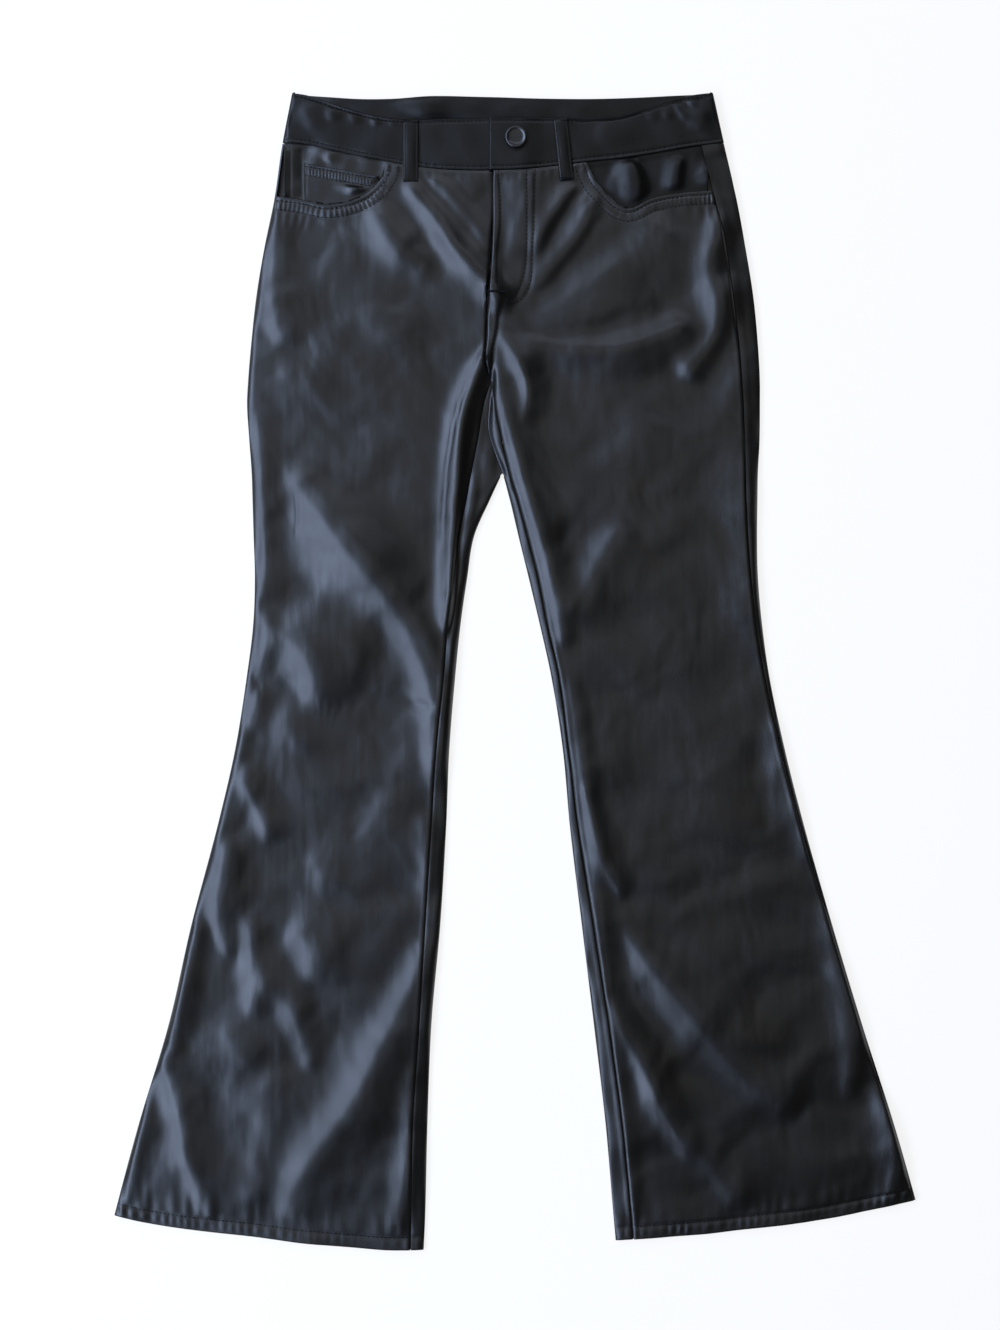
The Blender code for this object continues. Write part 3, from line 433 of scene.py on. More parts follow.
def beside(line, x, y, reach):
    """The points within reach of a line: which ones, how far to its left, what share of the way along it,
    and the line's length."""
    low, high = line.min(axis=0) - reach, line.max(axis=0) + reach
    near = np.nonzero((x > low[0]) & (x < high[0]) & (y > low[1]) & (y < high[1]))
    px, py = x[near], y[near]
    best, left, along = np.full(px.shape, 1e9), np.zeros(px.shape), np.zeros(px.shape)
    walked = 0.0
    for (ax, ay), (bx, by) in zip(line, line[1:]):
        ux, uy = bx - ax, by - ay
        length = math.hypot(ux, uy)
        t = np.clip(((px - ax) * ux + (py - ay) * uy) / length**2, 0, 1)
        dx, dy = px - ax - t * ux, py - ay - t * uy
        away = np.hypot(dx, dy)
        closer = away < best
        best[closer] = away[closer]
        left[closer] = np.sign(ux * dy - uy * dx)[closer]
        along[closer] = (walked + t * length)[closer]
        walked += length
    return near, best * left, along / walked, walked


top_height = smooth(TOP_HEIGHT)
rise_x = smooth(RISE)
left_fly_x = straight([(row.y, row.left_edge) for row in FLY])
right_fly_x = straight([(row.y, row.right_edge) for row in FLY])
lift_by_level = straight(LIFT_BY_LEVEL)
front_seam_y, front_top_y = column(FRONT_BAND, "x", "seam"), column(FRONT_BAND, "x", "top")
back_seam_y, back_top_y = column(BACK_BAND, "x", "seam"), column(BACK_BAND, "x", "top")
mouth_r_y, mouth_l_y = straight(MOUTH_R), straight(MOUTH_L)
hem_r_y, hem_l_y = smooth(HEM_R), smooth(HEM_L)
coin_pocket_top = straight(COIN_EDGE)
outseam_l = column(SECTIONS, "y", "outseam_l")
MOUTH_LINE_R = spline(MOUTH_R, 4)
MOUTH_LINE_L = spline(MOUTH_L, 4)


def floor_height(y):
    """How far the underside is off the surface: only the waist is, on the back belt loops."""
    return LOOP_LIFT * step(y, 345, 360)


def front_top_r(x):
    """The right front's top edge: the waist seam, and the pocket mouth where it is lower."""
    seam = front_seam_y(x) - GAP
    return np.where(x < MOUTH_R[-1][0], np.minimum(mouth_r_y(x), seam), seam)


def front_top_l(x):
    """The left front's top edge, in the same way."""
    seam = front_seam_y(x) - GAP
    return np.where(x > MOUTH_L[0][0], np.minimum(mouth_l_y(x), seam), seam)


def back_top(x):
    """The backs' top edge: the waist seam, which at the sides comes round to the front."""
    at_side = (x < SIDES[0]) | (x > SIDES[1])
    return np.where(at_side, np.minimum(back_seam_y(x), front_seam_y(x)), back_seam_y(x)) - GAP


# ---- Folds and wrinkles ----------------------------------------------------------------------------------
LIT_FOOT = 0.75         # a fold's lit side steepens over this share of its width
FAR_FOOT = 0.6          # and the side behind its crest over this share
LIT_SHARE = 0.88        # the whole lit side over the width of what shows bright
DEEPEST = -1.3          # below this the hollows are flattened
FLATTENED = 0.25        # to this share of their depth


def eased_run(q, foot, crest):
    """Height after a share q of a slope of 1 that eases in over foot and eases out over crest."""
    def start(t):
        t = np.clip(t, 0, 1)
        return t**3 - t**4 / 2
    rising = foot * start(q / foot) + np.maximum(q - foot, 0)
    return np.where(q < 1 - crest, rising, 1 - foot / 2 - crest / 2 - crest * start((1 - q) / crest))


def fold_height(fold, x, y):
    """The points that a fold reaches, and the height it adds there."""
    crest_line = np.array(fold.crest, float)
    line, widths = spline(crest_line[:, :2]), crest_line[:, 2]
    spare = fold.soft / 2
    reach = 1.7 * float(widths.max()) * max(1.0, 0.6 * float(np.max(fold.far))) + 14 + spare
    near, left, share, walked = beside(line, x, y, reach)
    placed = walked_to(crest_line[:, :2])
    lit_width = np.maximum(smooth(list(zip(placed / placed[-1], widths)))(share), 1.5)
    width = LIT_SHARE * lit_width / (1 - LIT_FOOT / 2) + spare
    run = line[-1] - line[0]
    to_light = (left if run[1] + 0.3 * run[0] > 0 else -left) + spare
    crest = np.minimum(0.4, fold.soft / width)
    top = fold.slope * width * (1 - LIT_FOOT / 2 - crest / 2)
    lit = fold.slope * width * eased_run(np.clip(1 - to_light / width, 0, 1), LIT_FOOT, crest)
    far = np.interp(share, (0, 1), np.broadcast_to(fold.far, 2)) * lit_width + 3.0 + spare
    far_crest = np.minimum(0.3, fold.soft / far)
    fall = eased_run(np.clip(1 + to_light / far, 0, 1), FAR_FOOT, far_crest)
    fall /= 1 - FAR_FOOT / 2 - far_crest / 2
    fade = max(2.5, walked / (0.6 * widths.max() + 6.0))
    return near, fading(share, fade) * np.where(to_light > 0, lit, top * fall)


def folds_height(folds, x, y):
    """The height that all the folds of a table add."""
    total = np.zeros(x.shape)
    for fold in folds:
        near, add = fold_height(fold, x, y)
        total[near] += add
    return total


def lattice(ix, iy, seed):
    """A fixed random number from 0 to 1 for each whole-number place."""
    n = (ix.astype(np.int64) * 374761393 + iy.astype(np.int64) * 668265263 + seed * 974634777) & 0xFFFFFFFF
    n = ((n ^ (n >> 13)) * 1274126177) & 0xFFFFFFFF
    return ((n ^ (n >> 16)) & 0xFFFF) / 65535.0


def noise(x, y, seed):
    """Smooth noise from -1 to 1 with features about one unit across."""
    ix, iy = np.floor(x), np.floor(y)
    fx, fy = x - ix, y - iy
    sx, sy = fx**3 * (fx * (6 * fx - 15) + 10), fy**3 * (fy * (6 * fy - 15) + 10)

    def corner(ox, oy):
        angle = lattice(ix + ox, iy + oy, seed) * 2 * np.pi
        return np.cos(angle) * (fx - ox) + np.sin(angle) * (fy - oy)
    top = corner(0, 1) + sx * (corner(1, 1) - corner(0, 1))
    low = corner(0, 0) + sx * (corner(1, 0) - corner(0, 0))
    return 1.5 * (low + sy * (top - low))


def wrinkles(x, y):
    """Soft unevenness all over: broad swells, ripples, finer ones and faint lengthwise streaks."""
    u = x + 12 * noise(x / 50, y / 50, 3)
    v = y + 12 * noise(x / 50, y / 50, 4)
    broad = 1.7 * noise(u / 62, v / 47, 11)
    middle = 0.85 * noise((u + 0.3 * v) / 33, (v - 0.3 * u) / 25, 12)
    fine = 0.22 * noise((u + 0.4 * v) / 12, (v - 0.4 * u) / 15, 13)
    finest = 0.06 * noise((u + 0.4 * v) / 6, (v - 0.4 * u) / 8, 14)
    streaks = 0.045 * noise(x / 4.5, y / 45, 15)
    return broad + middle + fine + finest + streaks


def pucker(t, pitch, seed):
    """Uneven small waves along an edge, from -1 to 1."""
    phase = t / pitch + 0.35 * np.sin(t / 17.0 + seed) + 0.2 * np.sin(t / 7.3 + 2 * seed)
    return np.sin(2 * np.pi * phase) * (0.65 + 0.35 * np.sin(t / 23.0 + 1.7 * seed))


def form(x, y):
    """How far the upper cloth stands over its flat height: all folds and wrinkles, calm near the seams."""
    total = wrinkles(x, y) + folds_height(FRONT_FOLDS, x, y)
    for crease in CREASES:
        near, left, share, _ = beside(spline(crease.line), x, y, 3 * crease.width)
        total[near] += groove(left, crease.width, crease.depth) * fading(share, 4)
    total = np.maximum(total, DEEPEST + FLATTENED * (total - DEEPEST))
    fly_x = left_fly_x(y)
    waist_room = np.where(x < fly_x, front_top_r(x) - y, front_top_l(x) - y)
    fly_room = np.where(y > CROTCH_Y, np.abs(x - fly_x) + 1.0, 99.0)
    total = total * step(waist_room, -1, 11) * (0.2 + 0.8 * step(fly_room, 0, 2.6))
    inner_edge = np.where(y > CROTCH_Y, fly_x, rise_x(np.clip(y, FORK_Y, CROTCH_Y)))
    return total + folds_height(INSEAM_BANKS, x, y) * step(x - inner_edge, -0.6, 0.6)


# ---- The form of a leg -----------------------------------------------------------------------------------
class Leg:
    """One leg and its half of the hips; w runs round it in millimetres from the middle of the outer edge:
    positive along the under side to the inner edge and on over the top, negative straight over the top."""
    FAR = 1000.0        # above the fork there is no inner edge, so it is put far away

    def __init__(self, side, inward, top_y, hem_y):
        self.inward = inward
        self.outer = column(SECTIONS, "y", "outer_" + side)
        self.inner_edge = column(SECTIONS, "y", "inner_" + side)
        self.inseam = column(SECTIONS, "y", "inseam_" + side)
        self.top_y, self.hem_y = top_y, hem_y

    def frame(self, y):
        """At a level: the two edges, the middle height and half the thickness, the inner edge's radius, the
        lengths of the two rounded edges' quarters, and the length once across."""
        outer = self.outer(y)
        inner = np.where(y <= FORK_Y, self.inner_edge(y), outer + self.inward * self.FAR)
        low, high = floor_height(y), top_height(y)
        half = (high - low) / 2
        inner_round = FORK_ROUND + (EDGE_ROUND - FORK_ROUND) * step(y, FORK_Y, FORK_Y - 24)
        arc = np.pi / 2 * np.sqrt((EDGE_ROUND**2 + half**2) / 2)
        inner_arc = np.pi / 2 * np.sqrt((inner_round**2 + half**2) / 2)
        length = np.abs(inner - outer) - EDGE_ROUND - inner_round + arc + inner_arc
        return outer, inner, low + half, half, inner_round, arc, inner_arc, length

    def reach(self, y, x):
        """Length over the top from the middle of the outer edge to the point above x."""
        def turned_share(away, radius):
            return np.arccos(np.clip(1 - away / radius, -1, 1)) / (np.pi / 2)
        outer, inner, _, _, inner_round, arc, inner_arc, length = self.frame(y)
        from_outer, from_inner = np.abs(x - outer), np.abs(inner - x)
        on_outer = arc * turned_share(from_outer, EDGE_ROUND)
        on_inner = length - inner_arc * turned_share(from_inner, inner_round)
        flat = from_outer - EDGE_ROUND + arc
        return np.select([from_outer < EDGE_ROUND, from_inner < inner_round], [on_outer, on_inner], flat)

    def point(self, y, w):
        """The flat form at a level and a way round: x, height, and how far up the top has been reached."""
        outer, inner, middle, half, inner_round, arc, inner_arc, length = self.frame(y)
        over = (w < 0) | (w > length)
        s = np.where(w < 0, -w, np.where(w > length, 2 * length - w, w))
        outer_turn = np.clip(s / arc, 0, 1) * np.pi / 2
        inner_turn = np.clip((length - s) / inner_arc, 0, 1) * np.pi / 2
        at_inner = s > length - inner_arc
        x = np.where(s < arc, outer + self.inward * EDGE_ROUND * (1 - np.cos(outer_turn)),
                     outer + self.inward * (EDGE_ROUND + s - arc))
        x = np.where(at_inner, inner - self.inward * inner_round * (1 - np.cos(inner_turn)), x)
        up = np.where(s < arc, np.sin(outer_turn), np.where(at_inner, np.sin(inner_turn), 1.0))
        return x, middle + np.where(over, 1, -1) * half * up, np.where(over, up, 0.0)

    def front_edge(self, y):
        """The inner boundary of the front: the lapped fly, and below it the inseam."""
        fly_x = right_fly_x if self.inward > 0 else left_fly_x
        return np.where(y >= CROTCH_Y, fly_x(y), self.inseam(y) - self.inward * GAP / 2)

    def outer_seam(self, y):
        """How far round over the top the outer seam lies; the right leg's is in the middle of its edge."""
        return self.reach(y, outseam_l(y)) if self.inward < 0 else 0 * y


RIGHT_LEG = Leg("r", 1, front_top_r, hem_r_y)
LEFT_LEG = Leg("l", -1, front_top_l, hem_l_y)


def valley(x, y):
    """The dip between the two legs above the fork, wide on the right leg's side and short on the left's."""
    inside = step(y, FORK_Y - 8, FORK_Y + 4) * step(y, CROTCH_Y + 14, CROTCH_Y - 2)
    off = x - rise_x(np.clip(y, FORK_Y, CROTCH_Y))
    depth = 2.3 + 1.5 * step(y, 165, 185) * step(y, 230, 216)
    right_side, left_side = np.exp(np.minimum(off, 0) / 9.0), bell(np.maximum(off, 0), 2.4)
    return -inside * depth * np.where(off < 0, right_side, left_side)


def fly_lap(x, y):
    """The left front rises over the edge of the right one along the fly."""
    away = x - left_fly_x(y)
    return np.where(away > -0.5, FLY_LIFT * lift_by_level(y) * step(away, 46, 18), 0.0)


# ---- Seams, hems and rows of stitches --------------------------------------------------------------------
def groove(d, width, depth):
    """A soft ditch across a distance d."""
    return -depth * bell(d, width)


def seam_shape(d):
    """Across a pressed seam, from the distance to it: a narrow ditch between two soft ridges."""
    d = np.abs(d)
    return groove(d, 0.75, 0.65) + 0.14 * bell(d - 2.6, 1.4)


def rolled_edge(d, drop, radius=0.9):
    """A turned edge falls away over its last stretch."""
    t = np.clip(1 - d / radius, 0, 1)
    return -drop * (1 - np.sqrt(1 - t * t))


def mouth_shape(d, along, wave, steep):
    """Across a pocket mouth's turned edge: rounded, with two sewn channels and puckers between them, and
    flatter where steep says that the mouth runs up to the waist."""
    first, second = MOUTH_ROWS
    between = step(d, 1.6, 3.2) * step(d, second + 0.6, second - 1.0)
    shape = 0.35 * step(d, 11, 9) + rolled_edge(d, 0.8) * (1 - 0.6 * steep)
    sewn = (0.5 + wave) * (1 - 0.75 * steep)
    shape += sewn * (groove(d - first, 0.8, 0.55) + groove(d - second, 0.9, 0.75))
    shape += wave * pucker(along, 3.4, 2.0) * between * (1 - 0.7 * steep)
    return shape + 0.3 * pucker(along, 8.3, 5.0) * step(d, 9, 12) * step(d, 26, 12)


def hem_shape(d, along):
    """Across a turned-up hem: a step up at the sewn channel and puckers below it."""
    shape = 0.3 * step(d, HEM_DEPTH + 0.8, HEM_DEPTH - 0.8) + rolled_edge(d, 0.9)
    shape += groove(d - HEM_DEPTH, np.where(d < HEM_DEPTH, 1.9, 0.9), 0.7)
    shape += 0.42 * pucker(along, 6.6, 1.0) * bell(d - 5.5, 3.6)
    return shape + 0.2 * pucker(along, 9.5, 3.0) * step(d, HEM_DEPTH, HEM_DEPTH + 3) * step(d, 34, 14)


def front_details(leg, x, y):
    """What seams, hems, pocket mouths and rows of stitches add to the height of a front."""
    below_crotch = step(y, CROTCH_Y + 4, CROTCH_Y - 4)
    above_crotch = step(y, CROTCH_Y + 4, CROTCH_Y + 10)
    add = hem_shape(y - leg.hem_y(x), x) + below_crotch * seam_shape(x - leg.inseam(y))
    waist_room = front_seam_y(x) - GAP - y
    add += groove(waist_room, 1.2, 0.6) + 0.25 * pucker(x, 6.0, 7.0) * bell(waist_room - 4, 4)
    line, wave = (MOUTH_LINE_R, 0.62) if leg is RIGHT_LEG else (MOUTH_LINE_L, 0.3)
    near, left, share, length = beside(line, x, y, 30)
    steep = step(share, 0.68, 0.82) if leg is RIGHT_LEG else step(share, 0.3, 0.18)
    add[near] += mouth_shape(np.abs(left), share * length, wave, steep)
    from_fly = x - left_fly_x(y)
    if leg is RIGHT_LEG:
        return add + above_crotch * groove(from_fly - 0.3, 1.1, 1.2)
    from_outseam = x - outseam_l(y)
    add += seam_shape(from_outseam) + groove(from_outseam, 1.1, 0.4)
    add += above_crotch * rolled_edge(from_fly, 1.3, 1.6)
    for row in FLY_ROWS:
        near, left, share, _ = beside(spline(row.line), x, y, 3 * row.rise)
        add[near] += groove(left, np.where(left > 0, row.rise, 0.9), row.depth) * fading(share, 20)
    return add


def top_cloth(leg, x, y, flat, up):
    """Height of a leg's upper cloth, given its flat form."""
    lap = fly_lap(x, y) if leg is LEFT_LEG else 0.0
    z = flat + up * (form(x, y) + valley(x, y) + lap)
    return z + 0.8 * up * np.maximum(LOWEST_TOP - z, 0)


def front_height(leg, x, y):
    """Height of a front at points of its upper side."""
    x, y = np.asarray(x, float), np.asarray(y, float)
    _, flat, up = leg.point(y, -leg.reach(y, x))
    return top_cloth(leg, x, y, flat, up) + up * front_details(leg, x, y)


# ---- Meshes from grids -----------------------------------------------------------------------------------
def spread(length, apart, tight=()):
    """Shares from 0 to 1 of a length: so far apart, and closer where tight lists (from, to, apart)."""
    d = np.linspace(0, length, 4001)
    spacing = np.full(d.shape, float(apart))
    for start, stop, close in tight:
        spacing[(d >= start) & (d <= stop)] = close
    count = np.concatenate(([0], np.cumsum(np.diff(d) / spacing[:-1])))
    return np.interp(np.linspace(0, count[-1], int(math.ceil(count[-1])) + 1), count, d) / length


def tight_ends(length, close):
    """The first and the last millimetre of a length, for spread."""
    return (0, 1, close), (length - 1, length, close)


def points_at(x, y, z):
    """Coordinates put together as points; numbers stand for whole grids."""
    return np.stack(np.broadcast_arrays(x, y, z), axis=-1).astype(float)


def grid_normals(points):
    """The direction square to a grid's surface at each point."""
    normal = np.cross(np.gradient(points, axis=1), np.gradient(points, axis=0))
    return normal / np.maximum(np.linalg.norm(normal, axis=2, keepdims=True), 1e-9)


def new_mesh(name, points, edges=(), faces=()):
    """A mesh from points in millimetres."""
    mesh = bpy.data.meshes.new(name)
    mesh.from_pydata((np.asarray(points, float) * MM).tolist(), list(edges), list(faces))
    mesh.update()
    return mesh


def in_scene(name, data):
    """A new object in the scene."""
    obj = bpy.data.objects.new(name, data)
    bpy.context.scene.collection.objects.link(obj)
    return obj


def smooth_object(name, mesh, sharp=None):
    """A smooth-shaded object, with its edges over an angle in degrees left sharp."""
    mesh.shade_smooth()
    if sharp:
        mesh.set_sharp_from_angle(angle=math.radians(sharp))
    return in_scene(name, mesh)


def signed_volume(verts, faces):
    """Volume inside four-sided faces, negative when they point inwards."""
    a, b, c, d = (verts[faces[:, k]] for k in range(4))
    return float(np.einsum("ij,ij->i", a, np.cross(b, c) + np.cross(c, d)).sum() / 6)


def shell(name, points, wall, outward, shown=None):
    """A closed wall under a grid of points (rows, columns, 3); shown marks the points that exist."""
    if shown is None:
        shown = np.ones(points.shape[:2], bool)
    rows, cols = shown.shape
    quads = shown[:-1, :-1] & shown[1:, :-1] & shown[:-1, 1:] & shown[1:, 1:]
    r, c = np.nonzero(quads)
    a, b, d, e = r * cols + c, r * cols + c + 1, (r + 1) * cols + c + 1, (r + 1) * cols + c
    count = rows * cols
    outer_faces = np.stack([a, b, d, e], axis=1)
    padded = np.pad(quads, 1)
    rims = []
    for dr, dc, start, stop in ((-1, 0, a, b), (0, 1, b, d), (1, 0, d, e), (0, -1, e, a)):
        at_rim = ~padded[r + 1 + dr, c + 1 + dc]
        p, q = start[at_rim], stop[at_rim]
        rims.append(np.stack([q, p, p + count, q + count], axis=1))
    faces = np.concatenate([outer_faces, outer_faces[:, ::-1] + count] + rims)
    thick = np.broadcast_to(np.asarray(wall, float), shown.shape)[..., None]
    verts = np.concatenate([points.reshape(-1, 3), (points - outward * thick).reshape(-1, 3)])
    used = np.unique(faces)
    index = np.full(len(verts), -1)
    index[used] = np.arange(len(used))
    verts, faces = verts[used], index[faces]
    mesh = new_mesh(name, verts, faces=faces.tolist())
    if signed_volume(verts, faces) < 0:
        mesh.flip_normals()
    return smooth_object(name, mesh, SHARP_CLOTH)


def padded_strip(name, middle, normal, thickness, from_edge):
    """A flat strip with rounded edges: its middle surface, normals, thickness and distances to its edge."""
    half = thickness / 2
    round_off = np.sqrt(np.clip(1 - np.clip(1 - from_edge / half, 0, 1)**2, 0.02, 1))
    points = middle + normal * (half * round_off)[..., None]
    return shell(name, points, thickness * round_off, normal)


# ---- The four leg panels ---------------------------------------------------------------------------------
def settle(levels, x, top_y, hem_y):
    """The rows' true heights: closed up to the waist line above and to the hem line below."""
    up = (levels - MOUTH_LEVEL) / (WAIST_LEVEL - MOUTH_LEVEL)
    down = (levels - HEM_EASE_LEVEL) / (HEM_LEVEL - HEM_EASE_LEVEL)
    high = MOUTH_LEVEL + up * (top_y(x) - MOUTH_LEVEL)
    low = HEM_EASE_LEVEL + down * (hem_y(x) - HEM_EASE_LEVEL)
    return np.select([up > 0, down > 0], [high, low], levels)


def panel_levels(apart):
    """The levels of a panel's rows, closer at the waist, the hip and the hem."""
    tight = ((0, 3, 0.7), (3, 13, 1.2), (100, 170, 1.9), (764, 776.5, 1.2), (776.5, 780, 0.6))
    return WAIST_LEVEL + (HEM_LEVEL - WAIST_LEVEL) * spread(WAIST_LEVEL - HEM_LEVEL, apart, tight)


def leg_grid(leg, levels, columns, ways, top_y):
    """x, y, flat height and turn of a grid with rows at levels; ways(y) gives its ways round the leg."""
    y = np.repeat(levels[:, None], columns, axis=1)
    for _ in range(5):
        x, _, _ = leg.point(y, ways(y))
        y = settle(levels[:, None], x, top_y, leg.hem_y)
    x, flat, up = leg.point(y, ways(y))
    return x, y, flat, up


def front_panel(name, leg):
    """The front of a leg, on top: from the outer seam to the fly and the inseam."""
    span = 170              # of a front, in which its columns are spread: closer at its edges and its folds
    edges = ((0, 5, 0.6), (5, 10, 1.0), (span - 9, span - 5, 1.0), (span - 5, span, 0.6))
    folded = ((10, 84, 1.1),) if leg is RIGHT_LEG else ((10, 108, 1.35), (137, 150, 0.9))
    shares = spread(span, 1.9, edges + folded)

    def ways(y):
        start = leg.outer_seam(y) + GAP / 2
        return -(start + (leg.reach(y, leg.front_edge(y)) - start) * shares)
    x, y, flat, up = leg_grid(leg, panel_levels(2.9), len(shares), ways, leg.top_y)
    z = top_cloth(leg, x, y, flat, up) + up * front_details(leg, x, y)
    points = points_at(x, y, z)
    return shell(name, points, WALL, -leg.inward * grid_normals(points))


def under_form(x, y):
    """Shallow creases that lift the under side off the surface."""
    u = x + 10 * noise(x / 45, y / 45, 23)
    v = y + 10 * noise(x / 45, y / 45, 24)
    long_creases = 3.0 * np.clip(noise(u / 26, v / 44, 31) - 0.12, 0, 1)
    return np.minimum(long_creases + np.clip(noise(u / 12, v / 26, 32) - 0.2, 0, 1), 1.3)


def back_panel(name, leg):
    """The back of a leg, from the outer seam round the under side, in four parts that join. Below the fork
    it rolls up round the inner edge, and a strip of it shows on top as far as the inseam."""
    levels = panel_levels(3.0)
    under, roll, strip = 1, 2, 3    # the parts after the outer edge, which is 0
    shares = (np.linspace(0, 1, 10)[:-1], np.linspace(0, 1, 58), np.linspace(0, 1, 9)[1:-1],
              np.linspace(0, 1, 15))
    part, share = np.repeat(range(4), [len(each) for each in shares]), np.concatenate(shares)
    columns = np.arange(len(part))

    def ways(y):
        _, _, _, _, _, arc, inner_arc, length = leg.frame(y)
        parted = y <= FORK_Y
        start = GAP / 2 - leg.outer_seam(y)
        centre = np.where(parted, length - inner_arc, leg.reach(y, BACK_SEAM_X - leg.inward * 0.02))
        inseam = 2 * length - leg.reach(y, leg.inseam(y) + leg.inward * GAP / 2)
        rise = 2 * length - leg.reach(y, rise_x(np.clip(y, FORK_Y, CROTCH_Y)) - leg.inward * GAP / 2)
        on_top = np.where(parted, np.minimum(length + inner_arc, 0.25 * length + 0.75 * inseam), rise)
        ends = np.stack([start, arc, centre, on_top, inseam])
        low, high = ends[part, :, columns].T, ends[part + 1, :, columns].T
        return low + (high - low) * share
    x, y, flat, up = leg_grid(leg, levels, len(part), ways, back_top)
    from_hem = y - leg.hem_y(x)
    ridge = 1.0 if leg is LEFT_LEG else 0.3
    below_crotch = step(y, CROTCH_Y + 4, CROTCH_Y - 4)
    add = hem_shape(from_hem, x) + ridge * below_crotch * seam_shape(x - leg.inseam(y))
    if leg is LEFT_LEG:
        beyond = np.maximum(x - outseam_l(y), 0)
        away = 2.6 * (1 - np.exp(-beyond / 9.0))
        add += seam_shape(beyond) * step(y, 356, 348) - away * step(front_seam_y(x) - y, 3, 12)
    z = top_cloth(leg, x, y, flat, up) + up * add
    flat_part = np.where(part == under, step(to_end(share), 0, 1 / 12), 0.0)
    z += flat_part * step(back_top(x) - y, 0, 12) * step(from_hem, 0, 20) * under_form(x, y)
    at_seam = np.where((y > FORK_Y) & (part <= under), np.abs(x - BACK_SEAM_X), 99.0)
    z += 0.6 * step(at_seam, 3.2, 0)
    top_level = np.select([part == roll, part == strip], [FORK_Y, CROTCH_Y - 3], WAIST_LEVEL)
    points = points_at(x, y, z)
    return shell(name, points, WALL, leg.inward * grid_normals(points), levels[:, None] <= top_level)


# ---- Waistband, pocket pieces, loops, zip and button -----------------------------------------------------
def band_shape(x, v):
    """Unevenness of the front waistband, tighter just under its sewn top edge; v is 0 below and 1 above."""
    seam, top = front_seam_y(x), front_top_y(x)
    x, y = np.broadcast_arrays(x, seam + v * (top - seam))
    from_top, from_seam = top - y, y - seam
    shape = 0.7 * noise(x / 19 + 0.5 * v, v * 1.6, 41)
    shape += 0.22 * pucker(x, 2.9, 3.0) * bell(from_top - 3, 2.5)
    shape += folds_height(BAND_FOLDS, x, y) * step(from_top, 0, 5) * step(from_seam, 0, 5)
    shape += groove(from_top - BAND_ROWS[0], 0.8, 0.75) + groove(from_seam - BAND_ROWS[1], 0.75, 0.55)
    return shape + 0.16 * pucker(x, 4.6, 6.0) * bell(from_seam - 2, 2)


def band_lap(x):
    """How much higher the waistband's left end lies, over its right one."""
    return (BAND_WALL + GAP) * step(x, 22, 4)


def waistband():
    """One strip round the waist: from under the lap at the front, round the back, to the lap's end."""
    start_x, end_x, fold_round = -3.0, -18.4, 2.4
    tall, close = 36, 0.25          # the band's height, and how close its rows and columns are at its edges
    middle, half = (BAND_TOP + LOOP_LIFT) / 2, (BAND_TOP - LOOP_LIFT) / 2
    v = spread(tall, 1.7, tight_ends(tall, close) + ((1, 5, 0.8), (30, 35, 0.8)))[:, None]
    side_y = BAND_SIDE[0] + v * (BAND_SIDE[1] - BAND_SIDE[0])
    x_r, x_l = RIGHT_LEG.outer(side_y), LEFT_LEG.outer(side_y)
    turn = np.linspace(np.pi / 2, -np.pi / 2, 16)[1:-1]
    over_r = spread(150, 1.5, ((0, 1, close),))
    under = spread(305, 3.4)
    over_l = spread(158, 1.5, ((157, 158, close), (118, 140, 1.0)))
    surfaces, normals = [], []

    def add(x, y, z, normal_x, normal_z):
        surfaces.append(points_at(x, y, z))
        normals.append(points_at(normal_x + 0 * x, 0, normal_z))

    def front(x, lap):
        y = front_seam_y(x) + v * (front_top_y(x) - front_seam_y(x))
        add(x, y, BAND_TOP + lap + band_shape(x, v), 0, 1)

    def side(x_edge, out, angle):
        across, up = out * np.cos(angle) / fold_round, np.sin(angle) / half
        size = np.hypot(across, up)
        x = x_edge - out * fold_round * (1 - np.cos(angle))
        add(x, side_y, middle + half * np.sin(angle), across / size, up / size)
    front(start_x + (x_r + fold_round - start_x) * over_r, 0)
    side(x_r, -1, turn)
    x = x_r + fold_round + (x_l - x_r - 2 * fold_round) * under
    y = back_seam_y(x) + v * (back_top_y(x) - back_seam_y(x))
    curl = 2.8 * step(v, 0.4, 1) * step(np.minimum(x - x_r, x_l - x), 4, 34)
    sag = 0.9 * (1 + noise(x / 19, 1.5 * v, 44)) * step(to_end(v), 0, 0.25)
    seen = folds_height(BACK_BAND_FOLDS, x, y) * step(y - front_top_y(x), 0.5, 3.5)
    add(x, y, LOOP_LIFT + curl + sag + seen, 0, -1)
    side(x_l, 1, turn[::-1])
    x = x_l - fold_round + (end_x - x_l + fold_round) * over_l
    front(x, band_lap(x))
    surface, normal = (np.concatenate(parts, axis=1) for parts in (surfaces, normals))
    place = np.arange(surface.shape[1])
    from_end = close * np.minimum(place, place[::-1])
    from_edge = np.minimum(to_end(v) * tall, from_end)
    middle_surface = surface - normal * (BAND_WALL / 2)
    return padded_strip("waistband_leather", middle_surface, normal, BAND_WALL, from_edge)


def sheet_between(name, x, lower, upper, top_z, thickness, swell):
    """A flat cloth piece between a lower and an upper line; swell(x, y) is added to its height."""
    height = float(np.max(upper - lower))
    v = spread(height, 1.4, tight_ends(height, 0.3))[:, None]
    y = lower + v * (upper - lower)
    x = np.broadcast_to(x, y.shape)
    from_edge = np.minimum(to_end(v) * (upper - lower), np.minimum(x - x[:, :1], x[:, -1:] - x))
    middle = points_at(x, y, top_z + swell(x, y) - thickness / 2)
    return padded_strip(name, middle, points_at(0 * x, 0, 1), thickness, from_edge)


